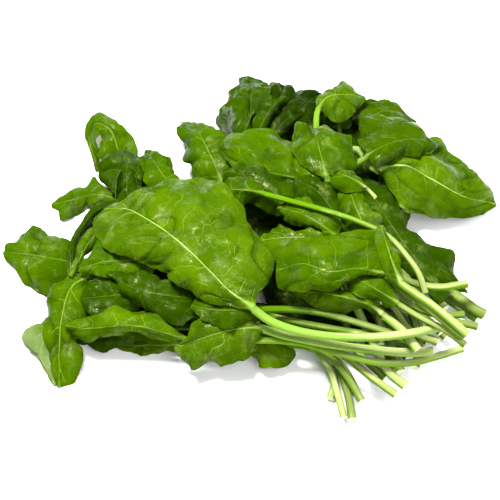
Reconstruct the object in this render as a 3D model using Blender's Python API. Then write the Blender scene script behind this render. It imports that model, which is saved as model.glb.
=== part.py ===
"""A loose bunch of cut spinach lying on a table: whole leaves, each a blade on its own stalk.

Each leaf is drawn by its long lines as the bunch looks from the sight point: the stalk, the rib, and
the margin on either side. It is lofted as one closed body, round in the stalk and thin in the blade,
and is then let down onto the leaves laid before it, along the lines of sight, so that no two leaves
cross. Lengths are in millimetres in the drawing and in metres in the model.
"""

import math

import bpy
import numpy as np

MM = 0.001

# The drawing is made from this far, looking down at this angle on the table's origin.
SIGHT_DISTANCE = 900.0
SIGHT_ANGLE = math.radians(50.0)

# Leaf sizes. A stalk is wider at its cut, by the flare. A rib stands out mostly from the under face.
BLADE_THICKNESS = 0.7
STALK_THICKNESS_SHARE = 0.85
FLARE = 0.15
FLARE_LENGTH = 12.0
STALK_SINKS = 0.4
RIB_RUNS_OUT = 0.22
RIB_KEPT = 0.5
RIB_HALF_WIDTH = 3.0
RIB_ON_UPPER_FACE = 0.15
TIP_WIDTH = 3.0

# A margin's wave has a smaller one on it, starts elsewhere on the right side, and fades out at both ends.
RIGHT_STARTS_AT = 2.1
SMALL_WAVE_HEIGHT = 0.5
SMALL_WAVE_COUNT = 2.7
WAVE_FADE = 6

# How finely a leaf is divided.
RING_SPACING = 9.0
MOST_RINGS = 15
FEWEST_RINGS = 6
STALK_RING_SPACING = 18.0
STALK_SIDES = 6
WIDE_BLADE = 42.0
WIDE_STRIPS = (-1.0, -0.62, -0.26, 0.0, 0.26, 0.62, 1.0)
NARROW_STRIPS = (-1.0, -0.45, 0.0, 0.45, 1.0)
SHEET_ROWS = 49
SHEET_COLUMNS = 33
LINE_POINTS = 200
LAST_RING_BACK = 0.35

# How a leaf comes to rest. The pile is kept as a grid of cells, each with its nearness to the sight point.
CELL = 1.0
HALF_ACROSS = 180
HALF_UP = 135
EMPTY = -1e6
CLEARANCE = 0.35
FALL = 0.5
DROPS = 140
FAST_DROPS = 0.6
SLOW_SHARE = 0.3
STIFFNESS = 0.5
BEND_ROUNDS = 4
PUSH_ROUNDS = 3
LAST_ROUNDS = 200
MOST_SUNK = 0.004
PUSHED_PAST = 1.02
FLAT_ON_TABLE = 0.3


def direction_of(vectors):
    """The vectors scaled to length one."""
    return vectors / np.maximum(np.linalg.norm(vectors, axis=-1, keepdims=True), 1e-9)


RIGHT = np.array([1.0, 0.0, 0.0])
UPWARD = np.array([0.0, math.sin(SIGHT_ANGLE), math.cos(SIGHT_ANGLE)])
TOWARDS = np.array([0.0, -math.cos(SIGHT_ANGLE), math.sin(SIGHT_ANGLE)])
SIGHT_POINT = TOWARDS * SIGHT_DISTANCE
VERTICAL = np.array([0.0, 0.0, 1.0])


def table_nearness(up):
    """How near the sight point the table is, from the drawing plane on, that far up in the drawing."""
    reach = SIGHT_POINT[2] / (SIGHT_POINT[2] - up * UPWARD[2])
    return SIGHT_DISTANCE * (1.0 - reach)


def stand(drawn):
    """Drawn points (across, up, height above the table) in space, each on its line of sight."""
    drawn = np.asarray(drawn, float)
    on_plane = drawn[..., :1] * RIGHT + drawn[..., 1:2] * UPWARD
    reach = (SIGHT_POINT[2] - drawn[..., 2:]) / (SIGHT_POINT[2] - on_plane[..., 2:])
    return SIGHT_POINT + (on_plane - SIGHT_POINT) * reach


def seen(points):
    """Points in space as (across, up, nearness over the table) in the drawing."""
    near = points @ TOWARDS
    reach = 1.0 - near / SIGHT_DISTANCE
    across = points @ RIGHT / reach
    up = points @ UPWARD / reach
    return np.stack([across, up, near - table_nearness(up)], axis=-1)


def unseen(views):
    """The inverse of seen: (across, up, nearness over the table) as points in space."""
    near = views[:, 2] + table_nearness(views[:, 1])
    reach = (1.0 - near / SIGHT_DISTANCE)[:, None]
    on_plane = views[:, :1] * RIGHT + views[:, 1:2] * UPWARD
    return SIGHT_POINT + (on_plane - SIGHT_POINT) * reach


def smooth_curve(knots, shares):
    """Points at the given shares of a cubic curve through the knots, with slopes from their neighbours."""
    knots = np.asarray(knots, float)
    gaps = np.maximum(np.linalg.norm(np.diff(knots, axis=0), axis=1), 1e-6)
    at = np.concatenate([[0.0], np.cumsum(gaps)])
    slopes = np.diff(knots, axis=0) / gaps[:, None]
    inner = (slopes[:-1] * gaps[1:, None] + slopes[1:] * gaps[:-1, None]) / (gaps[:-1] + gaps[1:])[:, None]
    tangents = np.vstack([slopes[:1], inner, slopes[-1:]])
    x = np.asarray(shares, float) * at[-1]
    k = np.clip(np.searchsorted(at, x, side="right") - 1, 0, len(gaps) - 1)
    g = gaps[k][:, None]
    u = ((x - at[k]) / gaps[k])[:, None]
    return (
        knots[k] * (2 * u**3 - 3 * u**2 + 1)
        + tangents[k] * g * (u**3 - 2 * u**2 + u)
        + knots[k + 1] * (3 * u**2 - 2 * u**3)
        + tangents[k + 1] * g * (u**3 - u**2)
    )


def length_of(points):
    """The length of the line through the points."""
    return float(np.linalg.norm(np.diff(points, axis=0), axis=1).sum())


def sideways(along):
    """The level direction to the right of each direction of travel."""
    return direction_of(np.cross(along, VERTICAL))


def blade_sheet(leaf, rows, shares):
    """The blade's middle surface at rows from base to tip and shares from left margin, -1, to right, 1.

    At each row a parabola runs from the rib over the side's crest, where it has one, to the margin. The
    half blade is puffed between rib and margin by half a sine, and its margin waves with a sine.
    """
    rib_knots = stand(leaf["rib"])
    rib = smooth_curve(rib_knots, rows)
    right_at_base = sideways(rib[1] - rib[0])
    right_at_tip = sideways(rib[-1] - rib[-2])
    sheet = np.zeros((len(rows), len(shares), 3))
    for side, name in ((-1, "left"), (1, "right")):
        first = rib[0] + side * right_at_base * leaf["stalk_width"] / 2
        last = rib[-1] + side * right_at_tip * TIP_WIDTH / 2
        margin = smooth_curve(np.vstack([first, stand(leaf[name]), last]), rows)
        half = shares * side >= 0
        x = np.abs(shares[half])[None, :, None]
        straight = rib[:, None] * (1 - x) + margin[:, None] * x
        crest = leaf.get(name + "_crest")
        if crest is not None:
            ridge = smooth_curve(np.vstack([(first + rib[0]) / 2, stand(crest), (last + rib[-1]) / 2]), rows)
            straight = straight + 4 * x * (1 - x) * (ridge - (rib + margin) / 2)[:, None]
        sheet[:, half] = straight
    lengthways = np.gradient(sheet, axis=0)
    crossways = np.gradient(sheet, axis=1)
    normals = direction_of(np.cross(crossways, lengthways))
    x = np.abs(shares)[None, :]
    t = rows[:, None]
    hush = np.clip(np.minimum(t, 1 - t) * WAVE_FADE, 0, 1)
    phase = np.where(shares < 0, 0.0, RIGHT_STARTS_AT)[None, :]
    turns = 2 * math.pi * leaf["waves"] * t
    small_wave = SMALL_WAVE_HEIGHT * np.sin(SMALL_WAVE_COUNT * turns + 3 * phase)
    wave = leaf["wave"] * x**2 * (np.sin(turns + phase) + small_wave)
    puff = leaf["puff"] * np.sin(math.pi * x)
    return sheet + normals * ((wave + puff) * hush)[..., None]


def sheet_at(sheet, rows, shares):
    """The sheet's values at each row share and each side share, by straight interpolation."""
    i = np.asarray(rows) * (sheet.shape[0] - 1)
    j = (np.asarray(shares) + 1) / 2 * (sheet.shape[1] - 1)
    i0 = np.clip(i.astype(int), 0, sheet.shape[0] - 2)
    j0 = np.clip(j.astype(int), 0, sheet.shape[1] - 2)
    u = (i - i0)[:, None, None]
    v = (j - j0)[None, :, None]
    a = sheet[i0][:, j0] * (1 - v) + sheet[i0][:, j0 + 1] * v
    b = sheet[i0 + 1][:, j0] * (1 - v) + sheet[i0 + 1][:, j0 + 1] * v
    return a * (1 - u) + b * u


def stalk_rings(leaf, shares, stalk_length, sides):
    """Rings round the stalk's centre line, at shares of the line that runs on into the rib."""
    knots = np.vstack([stand(leaf["stalk"]), stand(leaf["rib"][1:2])])
    centres = smooth_curve(knots, shares)
    ahead = direction_of(smooth_curve(knots, np.minimum(shares + 0.01, 1.0)) - centres)
    right = sideways(ahead)
    rise = np.cross(right, ahead)
    turn = (math.pi - np.arange(sides) * 2 * math.pi / sides)[None, :, None]
    way = np.linspace(0.0, 1.0, len(shares))[:, None, None]
    flare = 1.0 + FLARE * np.exp(-way * stalk_length / FLARE_LENGTH)
    half_width = leaf["stalk_width"] / 2 * flare
    thick = leaf["stalk_width"] * STALK_THICKNESS_SHARE - BLADE_THICKNESS
    drop = thick * STALK_SINKS * way * (-1 if leaf["turned"] else 1)
    round_part = np.sin(turn) * STALK_THICKNESS_SHARE
    across = right[:, None] * np.cos(turn) * half_width
    return centres[:, None] + across + rise[:, None] * (round_part * half_width - drop)


def leaf_body(leaf):
    """The leaf as one closed loft: its points in space, triangles, each point's node, and the node links.

    Stalk rings are ellipses. Blade rings run across the upper face and back across the under face. The
    points of both faces at one place of the blade share a node, and so do those of one stalk ring.
    """
    sheet = blade_sheet(leaf, np.linspace(0.0, 1.0, SHEET_ROWS), np.linspace(-1.0, 1.0, SHEET_COLUMNS))
    blade_length = length_of(sheet[:, SHEET_COLUMNS // 2])
    span = float(np.linalg.norm(np.diff(sheet, axis=1), axis=2).sum(axis=1).max())
    strips = np.array(WIDE_STRIPS if span > WIDE_BLADE else NARROW_STRIPS)
    rings = int(np.clip(round(blade_length / RING_SPACING), FEWEST_RINGS, MOST_RINGS)) + 1
    rows = np.linspace(0.0, 1.0, rings)
    middle = sheet_at(sheet, rows, strips)
    crossways = sheet_at(np.gradient(sheet, axis=1), rows, strips)
    normals = direction_of(np.cross(crossways, sheet_at(np.gradient(sheet, axis=0), rows, strips)))
    thick = leaf["stalk_width"] * STALK_THICKNESS_SHARE - BLADE_THICKNESS
    from_rib = np.linalg.norm(middle - middle[:, len(strips) // 2, None], axis=2)
    run_out = thick * np.exp(-rows / RIB_RUNS_OUT) + RIB_KEPT * (1 - rows)
    bulge = run_out[:, None] * np.exp(-((from_rib / RIB_HALF_WIDTH) ** 2))
    over = BLADE_THICKNESS / 2 + (bulge if leaf["turned"] else RIB_ON_UPPER_FACE * bulge)
    under = BLADE_THICKNESS / 2 + (RIB_ON_UPPER_FACE * bulge if leaf["turned"] else bulge)
    upper = middle + normals * over[..., None]
    lower = middle - normals * under[..., None]

    stalk_knots = stand(leaf["stalk"])
    stalk_length = length_of(stalk_knots)
    count = max(3, int(round(stalk_length / STALK_RING_SPACING)))
    line = smooth_curve(np.vstack([stalk_knots, stand(leaf["rib"][1:2])]), np.linspace(0.0, 1.0, LINE_POINTS))
    whole = stalk_length / length_of(line)
    shares = np.linspace(0.0, whole * (1 - LAST_RING_BACK / count), count)
    stalk = stalk_rings(leaf, shares, stalk_length, STALK_SIDES)

    columns = len(strips)
    ring_size = 2 * columns
    points = [stalk.reshape(-1, 3)]
    points.append(np.concatenate([upper, lower[:, ::-1]], axis=1).reshape(-1, 3))
    first = count * STALK_SIDES
    faces = []
    for r in range(count - 1):
        for k in range(STALK_SIDES):
            a, b = r * STALK_SIDES + k, r * STALK_SIDES + (k + 1) % STALK_SIDES
            faces += [(a, b, b + STALK_SIDES), (a, b + STALK_SIDES, a + STALK_SIDES)]
    faces += [(0, k + 1, k) for k in range(1, STALK_SIDES - 1)]
    faces += zipped(
        list(range(first - STALK_SIDES, first)),
        np.arange(STALK_SIDES) / STALK_SIDES,
        list(range(first, first + ring_size)),
        ring_shares(columns),
    )
    for r in range(rings - 1):
        here = first + r * ring_size
        there = here + ring_size
        for k in range(columns - 1):
            a, b = here + k, here + k + 1
            c, d = there + k, there + k + 1
            faces += split(a, b, c, d, (r + k) % 2 == 0)
            a, b = here + ring_size - 1 - k, here + ring_size - 2 - k
            c, d = there + ring_size - 1 - k, there + ring_size - 2 - k
            faces += [f[::-1] for f in split(a, b, c, d, (r + k) % 2 == 0)]
        for a, b in ((columns - 1, columns), (ring_size - 1, 0)):
            faces += split(here + a, here + b, there + a, there + b, True)
    last = first + (rings - 1) * ring_size
    for k in range(columns - 1):
        a, b = last + k, last + k + 1
        c, d = last + ring_size - 1 - k, last + ring_size - 2 - k
        faces += [(a, b, d), (a, d, c)]

    stalk_nodes = np.repeat(np.arange(count), STALK_SIDES)
    grid = count + np.arange(rings * columns).reshape(rings, columns)
    blade_nodes = np.concatenate([grid, grid[:, ::-1]], axis=1).reshape(-1)
    links = [(k, k + 1) for k in range(count - 1)]
    links += [(count - 1, int(g)) for g in grid[0]]
    links += [(int(a), int(b)) for a, b in zip(grid[:-1].reshape(-1), grid[1:].reshape(-1))]
    links += [(int(a), int(b)) for a, b in zip(grid[:, :-1].reshape(-1), grid[:, 1:].reshape(-1))]
    nodes = np.concatenate([stalk_nodes, blade_nodes])
    return np.concatenate(points), np.array(faces), nodes, np.array(links)


def ring_shares(columns):
    """Where the points of a blade ring lie on the way round: over the top, then back underneath."""
    top = np.linspace(0.0, 0.5, columns)
    return np.concatenate([top, top + 0.5]) * (2 * columns - 1) / (2 * columns)


def split(a, b, c, d, rising):
    """Two triangles for the quad with near edge a-b and far edge c-d."""
    if rising:
        return [(a, b, d), (a, d, c)]
    return [(a, b, c), (b, d, c)]


def zipped(ring, ring_at, other, other_at):
    """Triangles between two rings with unlike numbers of points, going on with the nearer next one."""
    faces = []
    i = j = 0
    n, m = len(ring), len(other)
    while i < n or j < m:
        next_i = ring_at[i + 1] if i + 1 < n else (1.0 if i < n else 9.0)
        next_j = other_at[j + 1] if j + 1 < m else (1.0 if j < m else 9.0)
        if next_i <= next_j:
            faces.append((ring[i % n], ring[(i + 1) % n], other[j % m]))
            i += 1
        else:
            faces.append((ring[i % n], other[(j + 1) % m], other[j % m]))
            j += 1
    return faces


def contact_samples(views, faces):
    """Spots over the triangles, a cell apart or closer: the corners and weights of each, and its cell."""
    corners, weights = [], []
    for face in faces:
        flat = views[face][:, :2]
        low = np.floor(flat.min(axis=0) / CELL)
        high = np.ceil(flat.max(axis=0) / CELL)
        columns = np.arange(low[0], high[0] + 1) * CELL
        rows = np.arange(low[1], high[1] + 1) * CELL
        grid_x, grid_y = np.meshgrid(columns, rows)
        spots = np.stack([grid_x.reshape(-1), grid_y.reshape(-1)], axis=1)
        edge_b, edge_c = flat[1] - flat[0], flat[2] - flat[0]
        area = edge_b[0] * edge_c[1] - edge_b[1] * edge_c[0]
        if abs(area) > 1e-6:
            out = spots - flat[0]
            w_b = (out[:, 0] * edge_c[1] - out[:, 1] * edge_c[0]) / area
            w_c = (edge_b[0] * out[:, 1] - edge_b[1] * out[:, 0]) / area
            inside = (w_b >= 0) & (w_c >= 0) & (w_b + w_c <= 1)
            found = np.stack([1 - w_b - w_c, w_b, w_c], axis=1)[inside]
            corners.append(np.tile(face, (len(found), 1)))
            weights.append(found)
        on_rim = np.array([[1, 0, 0], [0.5, 0.5, 0], [0.5, 0, 0.5], [0, 0.5, 0.5]])
        corners.append(np.tile(face, (len(on_rim), 1)))
        weights.append(on_rim)
    corners, weights = np.concatenate(corners), np.concatenate(weights)
    places = (views[corners, :2] * weights[..., None]).sum(axis=1)
    cell_x = np.clip(np.rint(places[:, 0] / CELL).astype(int) + HALF_ACROSS, 0, 2 * HALF_ACROSS)
    cell_y = np.clip(np.rint(places[:, 1] / CELL).astype(int) + HALF_UP, 0, 2 * HALF_UP)
    return corners, weights, cell_x * (2 * HALF_UP + 1) + cell_y


def spread(pile):
    """The pile's front with each cell raised to its highest neighbour."""
    padded = np.pad(pile, 1, mode="edge")
    width, height = pile.shape
    return np.max([padded[i : i + width, j : j + height] for i in range(3) for j in range(3)], axis=0)


def come_to_rest(views, faces, nodes, links, pile):
    """Lets a leaf down onto the pile along the lines of sight and returns how far each of its points moves.

    Each round the leaf falls a little, its nodes are drawn towards their neighbours' fall, which is its
    stiffness, and what has gone into the pile or the table is pushed out again.
    """
    corners, weights, cells = contact_samples(views, faces)
    need = np.maximum(spread(pile).reshape(-1)[cells] + CLEARANCE, 0.0)
    depth = (views[corners, 2] * weights).sum(axis=1)
    held = nodes[corners]
    count = nodes.max() + 1
    merged = weights / (weights**2).sum(axis=1, keepdims=True)
    share = np.zeros((count, 1))
    np.add.at(share, links.reshape(-1), 1.0)

    def push_out(lift):
        sunk = need - depth - (lift[held] * weights).sum(axis=1)
        hit = sunk > 0
        push = np.zeros(count)
        np.maximum.at(push, held[hit].reshape(-1), (sunk[hit, None] * merged[hit]).reshape(-1))
        return push, (sunk.max() if len(sunk) else 0.0)

    lift = np.full(count, float((need - depth).max()))
    for drop in range(DROPS):
        lift = lift - FALL * (1 if drop < DROPS * FAST_DROPS else SLOW_SHARE)
        for _ in range(BEND_ROUNDS):
            mean = np.zeros(count)
            np.add.at(mean, links[:, 0], lift[links[:, 1]])
            np.add.at(mean, links[:, 1], lift[links[:, 0]])
            lift = lift + STIFFNESS * (mean / share[:, 0] - lift)
        for _ in range(PUSH_ROUNDS):
            push, _ = push_out(lift)
            lift = lift + push
    for _ in range(LAST_ROUNDS):
        push, worst = push_out(lift)
        if worst < MOST_SUNK:
            break
        lift = lift + push * PUSHED_PAST
    surface = depth + (lift[held] * weights).sum(axis=1)
    np.maximum.at(pile.reshape(-1), cells, surface)
    return lift[nodes]


def leaf(name, stalk, rib, left, right, stalk_width=5.0, turned=False, puff=1.5, wave=1.5, waves=3.0,
         **crests):
    """One leaf of the drawing. Its points are (across, up, height above the table) in millimetres.

    The stalk runs from its cut end to the blade, the rib from there to the tip, and left and right are the
    margins as they lie to someone looking from base to tip. A turned leaf shows its under face.
    """
    return {
        "name": name, "stalk": list(stalk) + [rib[0]], "rib": rib, "left": left, "right": right,
        "stalk_width": stalk_width, "turned": turned, "puff": puff, "wave": wave, "waves": waves, **crests,
    }


def drawing():
    """Every leaf, in the order in which they were laid down."""
    return [
        leaf("left_floor",
             stalk=[(96, -81, 3), (88, -68, 3), (66, -52, 3), (34, -42, 3), (6, -36, 3)],
             rib=[(-18, -32, 4), (-44, -30, 5), (-72, -29, 5), (-100, -26, 3)],
             left=[(-24, -46, 3), (-48, -52, 3), (-74, -50, 3), (-92, -38, 3)],
             right=[(-24, -18, 4), (-46, -10, 5), (-72, -8, 5), (-92, -12, 4)]),
        leaf("left_floor_low",
             stalk=[(70, -94, 3), (62, -78, 3), (42, -62, 3), (20, -54, 3)],
             rib=[(-2, -50, 4), (-26, -50, 5), (-50, -52, 5), (-72, -54, 3)],
             left=[(-8, -58, 3), (-28, -63, 3), (-50, -62, 3)],
             right=[(-8, -40, 4), (-28, -36, 4), (-50, -38, 4)],
             stalk_width=4.5),
        leaf("under_front",
             stalk=[(103, -70, 3), (92, -58, 3), (66, -40, 3), (32, -20, 4)],
             rib=[(4, -10, 5), (-22, -2, 8), (-48, 6, 8), (-74, 10, 3)],
             left=[(-4, -22, 4), (-26, -20, 5), (-48, -12, 5), (-66, -2, 3)],
             right=[(2, 4, 5), (-18, 16, 6), (-44, 24, 6), (-66, 22, 4)]),
        leaf("under_front_back",
             stalk=[(116, -60, 3), (104, -48, 3), (76, -26, 3), (40, -4, 4), (10, 8, 4)],
             rib=[(-12, 16, 5), (-34, 24, 8), (-56, 30, 8), (-78, 32, 3)],
             left=[(-18, 6, 4), (-38, 10, 5), (-58, 16, 5), (-72, 22, 3)],
             right=[(-14, 28, 4), (-32, 38, 5), (-54, 42, 5), (-72, 40, 4)]),
        leaf("upper_left_floor",
             stalk=[(40, 6, 4), (4, 18, 4), (-24, 26, 5)],
             rib=[(-44, 32, 6), (-60, 40, 8), (-76, 46, 8), (-90, 46, 4)],
             left=[(-50, 24, 4), (-66, 28, 5), (-82, 34, 4)],
             right=[(-46, 42, 5), (-60, 53, 5), (-74, 56, 5), (-86, 54, 4)],
             stalk_width=4.0),
        leaf("centre_floor",
             stalk=[(128, -57, 3), (116, -46, 3), (94, -26, 3), (74, -8, 4)],
             rib=[(52, 2, 6), (30, 12, 9), (6, 22, 9), (-16, 34, 5)],
             left=[(46, -12, 4), (26, -10, 6), (4, 0, 6), (-12, 16, 4)],
             right=[(54, 18, 5), (36, 30, 6), (12, 40, 6), (-6, 44, 5)]),
        leaf("centre_floor_low",
             stalk=[(122, -60, 3), (110, -54, 3), (90, -42, 3), (70, -32, 4)],
             rib=[(50, -26, 6), (34, -20, 9), (18, -12, 9), (2, -4, 5)],
             left=[(44, -39, 4), (29, -39, 5), (15, -38, 5), (8, -25, 4)],
             right=[(50, -12, 5), (36, -4, 6), (20, 4, 6)]),
        leaf("right_floor",
             stalk=[(148, -45, 3), (136, -37, 3), (122, -27, 3)],
             rib=[(104, -18, 5), (94, -2, 8), (84, 14, 9), (76, 34, 5)],
             left=[(92, -22, 4), (80, -8, 5), (70, 8, 5), (68, 24, 4)],
             right=[(110, -10, 4), (104, 2, 5), (96, 16, 5), (88, 30, 4)]),
        leaf("back_floor",
             stalk=[(113, -57, 3), (106, -40, 3), (90, -10, 4), (66, 20, 4), (44, 42, 5)],
             rib=[(30, 56, 6), (24, 68, 9), (22, 82, 10), (22, 96, 5)],
             left=[(16, 58, 5), (4, 68, 6), (2, 84, 6), (10, 96, 5)],
             right=[(44, 64, 5), (48, 76, 6), (46, 90, 6), (36, 98, 5)]),
        leaf("top_right_floor",
             stalk=[(127, -38, 3), (114, -22, 4), (100, 2, 4), (88, 24, 5)],
             rib=[(80, 38, 6), (73, 56, 9), (65, 78, 10), (57, 97, 5)],
             left=[(66, 44, 5), (52, 60, 6), (43, 80, 6), (46, 96, 5)],
             right=[(91, 44, 5), (91, 56, 6), (84, 78, 5), (71, 97.5, 5)]),
        leaf("under_middle",
             stalk=[(106, -62, 3), (96, -52, 3)],
             rib=[(84, -46, 3), (66, -42, 4), (46, -42, 4), (24, -40, 3)],
             left=[(76, -52, 3), (58, -53, 3), (40, -52, 3), (30, -46, 3)],
             right=[(80, -36, 4), (64, -30, 5), (44, -30, 5), (30, -34, 4)]),
        leaf("far_left",
             stalk=[(-20, -48, 3), (-52, -40, 3), (-84, -24, 4)],
             rib=[(-108, -10, 6), (-126, -6, 14), (-143, -3, 13), (-160, -1, 5)],
             left=[(-112, -22, 3), (-124, -29, 2), (-136, -29, 2), (-147, -22, 2), (-154, -11, 6),
                   (-159, -6, 6)],
             right=[(-112, 2, 6), (-121, 4.5, 8), (-132, 11, 9), (-140, 16.5, 9), (-147, 13, 9),
                    (-151, 5, 8), (-159, 3, 6)],
             puff=2.0, wave=1.2),
        leaf("upper_left_small",
             stalk=[(-5, -20, 5), (-40, 4, 6), (-66, 20, 8)],
             rib=[(-84, 32, 10), (-100, 36, 13), (-114, 33, 11), (-129, 29, 5)],
             left=[(-92, 30, 8), (-98, 30, 8), (-104, 26, 7), (-106.5, 30, 7), (-109.5, 24, 5), (-115, 22, 5),
                   (-121.5, 19.5, 3), (-125, 26, 4)],
             right=[(-88, 38, 9), (-97, 41.5, 10), (-101.5, 47, 10), (-103.5, 41.5, 10), (-108, 40, 10),
                    (-114, 41.5, 8), (-122, 35.5, 6)],
             stalk_width=3.5, wave=0.5),
        leaf("tall_hook",
             stalk=[(-20, 0, 6), (-50, 20, 8), (-72, 36, 10)],
             rib=[(-82, 50, 12), (-86, 66, 18), (-92, 79, 22), (-100, 82, 20), (-103, 71, 14), (-99, 51, 6)],
             left=[(-92, 55, 10), (-99, 62, 14), (-96, 71, 19), (-97.5, 75.5, 20), (-99.5, 72, 17),
                   (-98, 64, 11)],
             right=[(-74, 56, 12), (-74, 66, 16), (-81, 79, 20), (-91, 86, 20), (-101, 90, 18),
                    (-105.5, 84, 16), (-105, 68, 11)],
             stalk_width=4.0, puff=1.0, wave=0.5),
        leaf("left_dark_arch",
             stalk=[(-20, 8, 6), (-45, 22, 8), (-62, 32, 10)],
             rib=[(-72, 40, 12), (-80, 49, 18), (-88, 52, 16), (-98.5, 49, 10)],
             left=[(-78, 32, 8), (-86, 36, 10), (-91, 41, 10), (-97, 44, 9)],
             right=[(-66, 50, 12), (-69, 61, 14), (-78, 64.5, 18), (-89, 62, 16), (-96, 56, 12)],
             stalk_width=4.0, puff=2.0, wave=1.0),
        leaf("small_cup",
             stalk=[(-40, -4, 8), (-60, 8, 9), (-74, 18, 10)],
             rib=[(-80, 28, 12), (-80, 36, 12), (-80, 45, 14), (-80, 55, 18)],
             left=[(-84, 33, 18), (-87, 41, 20), (-86.5, 47, 22), (-84, 52, 20)],
             right=[(-75, 33, 18), (-73, 39, 20), (-74, 46, 22), (-77, 53, 20)],
             stalk_width=3.5, puff=-1.0, wave=0.4),
        leaf("left_round",
             stalk=[(0, -10, 8), (-20, 10, 10), (-36, 26, 12)],
             rib=[(-47, 36, 14), (-54, 45, 20), (-61, 55, 20), (-67, 65, 12)],
             left=[(-58, 34, 12), (-66, 41, 16), (-70.5, 51, 18), (-71.5, 58, 16)],
             right=[(-42, 44, 14), (-49, 49, 16), (-51, 57, 16), (-56, 62.5, 14), (-62, 64, 12)],
             stalk_width=4.0, puff=2.0, wave=1.0),
        leaf("back_fold",
             stalk=[(107, -76.5, 3), (110, -65, 4), (108, -50, 5), (92, -18, 6), (66, 24, 8), (34, 54, 12)],
             rib=[(10, 74, 16), (14, 86, 24), (19, 97, 26), (22, 107, 18)],
             left=[(4, 80, 16), (8, 93, 20), (13, 101, 22), (16, 108.5, 18)],
             right=[(19, 82, 18), (27, 93, 20), (29.5, 103.5, 18)],
             stalk_width=5.0, puff=3.0),
        leaf("back_strip",
             stalk=[(96, -81, 3), (94, -66, 4), (84, -36, 6), (62, 4, 8), (38, 44, 12)],
             rib=[(22, 72, 16), (29, 86, 24), (38, 96, 24), (47, 101.5, 16)],
             left=[(17, 80, 16), (23, 93, 20), (29, 102, 20), (40, 102, 16)],
             right=[(30, 78, 18), (38, 88, 22), (46, 95, 18)],
             stalk_width=4.5, puff=3.0, wave=1.0),
        leaf("back_roll",
             stalk=[(98, -79, 3), (95, -70, 4), (84, -46, 5), (60, -8, 6), (36, 30, 8), (14, 58, 12)],
             rib=[(4, 70, 18), (1, 84, 28), (0, 98, 30), (-2, 113, 20)],
             left=[(-13, 71, 14), (-20, 78, 14), (-17.5, 90, 16), (-15, 102, 16), (-10, 107.5, 16),
                   (-8, 112, 16)],
             left_crest=[(-8, 78, 30), (-9, 92, 33), (-5, 104, 28)],
             right=[(10, 78, 18), (13, 90, 24), (12.5, 102, 22), (7, 110, 18)],
             stalk_width=5.0, puff=1.0, wave=1.0),
        leaf("back_slim",
             stalk=[(108, -64, 5), (98, -44, 6), (74, -8, 8), (46, 28, 10), (16, 56, 14)],
             rib=[(4, 70, 20), (7, 80, 26), (13, 91, 30), (22, 100, 26)],
             left=[(0, 76, 20), (4, 86, 24), (10, 95, 26)],
             right=[(10, 76, 20), (14, 84, 24), (20, 93, 24)],
             stalk_width=4.0, wave=0.6),
        leaf("back_dark",
             stalk=[(124, -54, 6), (104, -36, 8), (80, -8, 9), (52, 26, 10), (26, 56, 14)],
             rib=[(14, 70, 22), (18, 78, 26), (24, 85, 28), (33, 88.5, 26)],
             left=[(12, 77, 22), (17, 86, 26), (26, 91, 26)],
             right=[(20, 73, 22), (27, 79, 24), (32, 84, 24)],
             stalk_width=4.0, wave=0.4, puff=2.5),
        leaf("back_edge",
             stalk=[(85, -61, 4), (84, -50, 6), (80, -34, 8), (62, 8, 10), (42, 46, 14)],
             rib=[(32, 70, 22), (38, 80, 26), (43, 87, 26), (47, 94, 22)],
             left=[(29, 77, 22), (34, 88, 24), (41, 95, 22)],
             right=[(37, 73, 22), (43, 80, 24), (47, 87, 22)],
             stalk_width=4.0, wave=0.6, puff=2.5),
        leaf("back_wedge",
             stalk=[(40, 20, 12), (18, 44, 16), (2, 60, 20)],
             rib=[(-5, 70, 26), (-4, 76, 30), (-1, 83, 32), (2, 91, 28)],
             left=[(-12, 72, 24), (-9, 79, 28), (-3, 87, 28)],
             right=[(1, 72, 26), (1, 78, 28), (0.5, 85, 28)],
             stalk_width=3.5, wave=0.3, puff=0.5),
        leaf("upper_right",
             stalk=[(148, -50, 4), (130, -45, 5), (110, -30, 6), (96, 0, 8), (88, 36, 12), (82, 62, 16)],
             rib=[(77, 78, 20), (82, 88, 26), (94, 90, 24), (108, 83, 14)],
             left=[(66, 84, 20), (65, 93, 22), (74, 98.5, 22), (84, 98, 22), (94, 94, 18), (103, 88, 14)],
             right=[(84, 74, 22), (92, 76, 24), (101, 77, 18), (107, 79, 14)],
             stalk_width=4.5),
        leaf("top_small",
             stalk=[(72, 30, 12), (66, 52, 16), (60, 68, 20)],
             rib=[(58, 78, 24), (58, 84, 28), (57, 90, 30), (56, 96, 28)],
             left=[(52, 80, 24), (50, 85, 26), (52, 92, 28)],
             right=[(64, 79, 24), (66, 83, 26), (62, 90, 28)],
             stalk_width=3.5, wave=0.4),
        leaf("top_hood",
             stalk=[(122, -60, 5), (108, -55, 6), (92, -36, 8), (74, 0, 10), (56, 36, 14), (43, 64, 20),
                    (43, 80, 28)],
             rib=[(44.5, 92, 30), (50, 99, 32), (60, 101, 30), (75, 99, 22)],
             left=[(44, 99, 26), (50, 104, 26), (60, 109, 24), (66, 103, 22)],
             right=[(49, 88, 28), (55, 83, 26), (62, 84, 24), (69, 91, 22)],
             stalk_width=4.0, wave=1.0),
        leaf("right_dark",
             stalk=[(152, -42, 4), (146, -38, 7), (140, -33, 10)],
             rib=[(131, -26, 13), (118, -15, 20), (105, -2, 26), (92, 16, 30), (74, 46, 24)],
             left=[(125, -34, 10), (114, -27, 14), (103, -15, 16), (94, -8, 18), (84, 4, 20), (74, 18, 22),
                   (66, 34, 22)],
             right=[(141.5, -28, 12), (137, -19, 14), (133, -10, 14), (130.5, -3, 14), (120, 1, 16),
                    (113, 8, 16), (105, 12, 18), (101.5, 23, 18), (94, 40, 20)],
             stalk_width=6.5, puff=2.5),
        leaf("right_large",
             stalk=[(34, 36, 16), (50, 56, 22), (68, 66, 26)],
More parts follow.
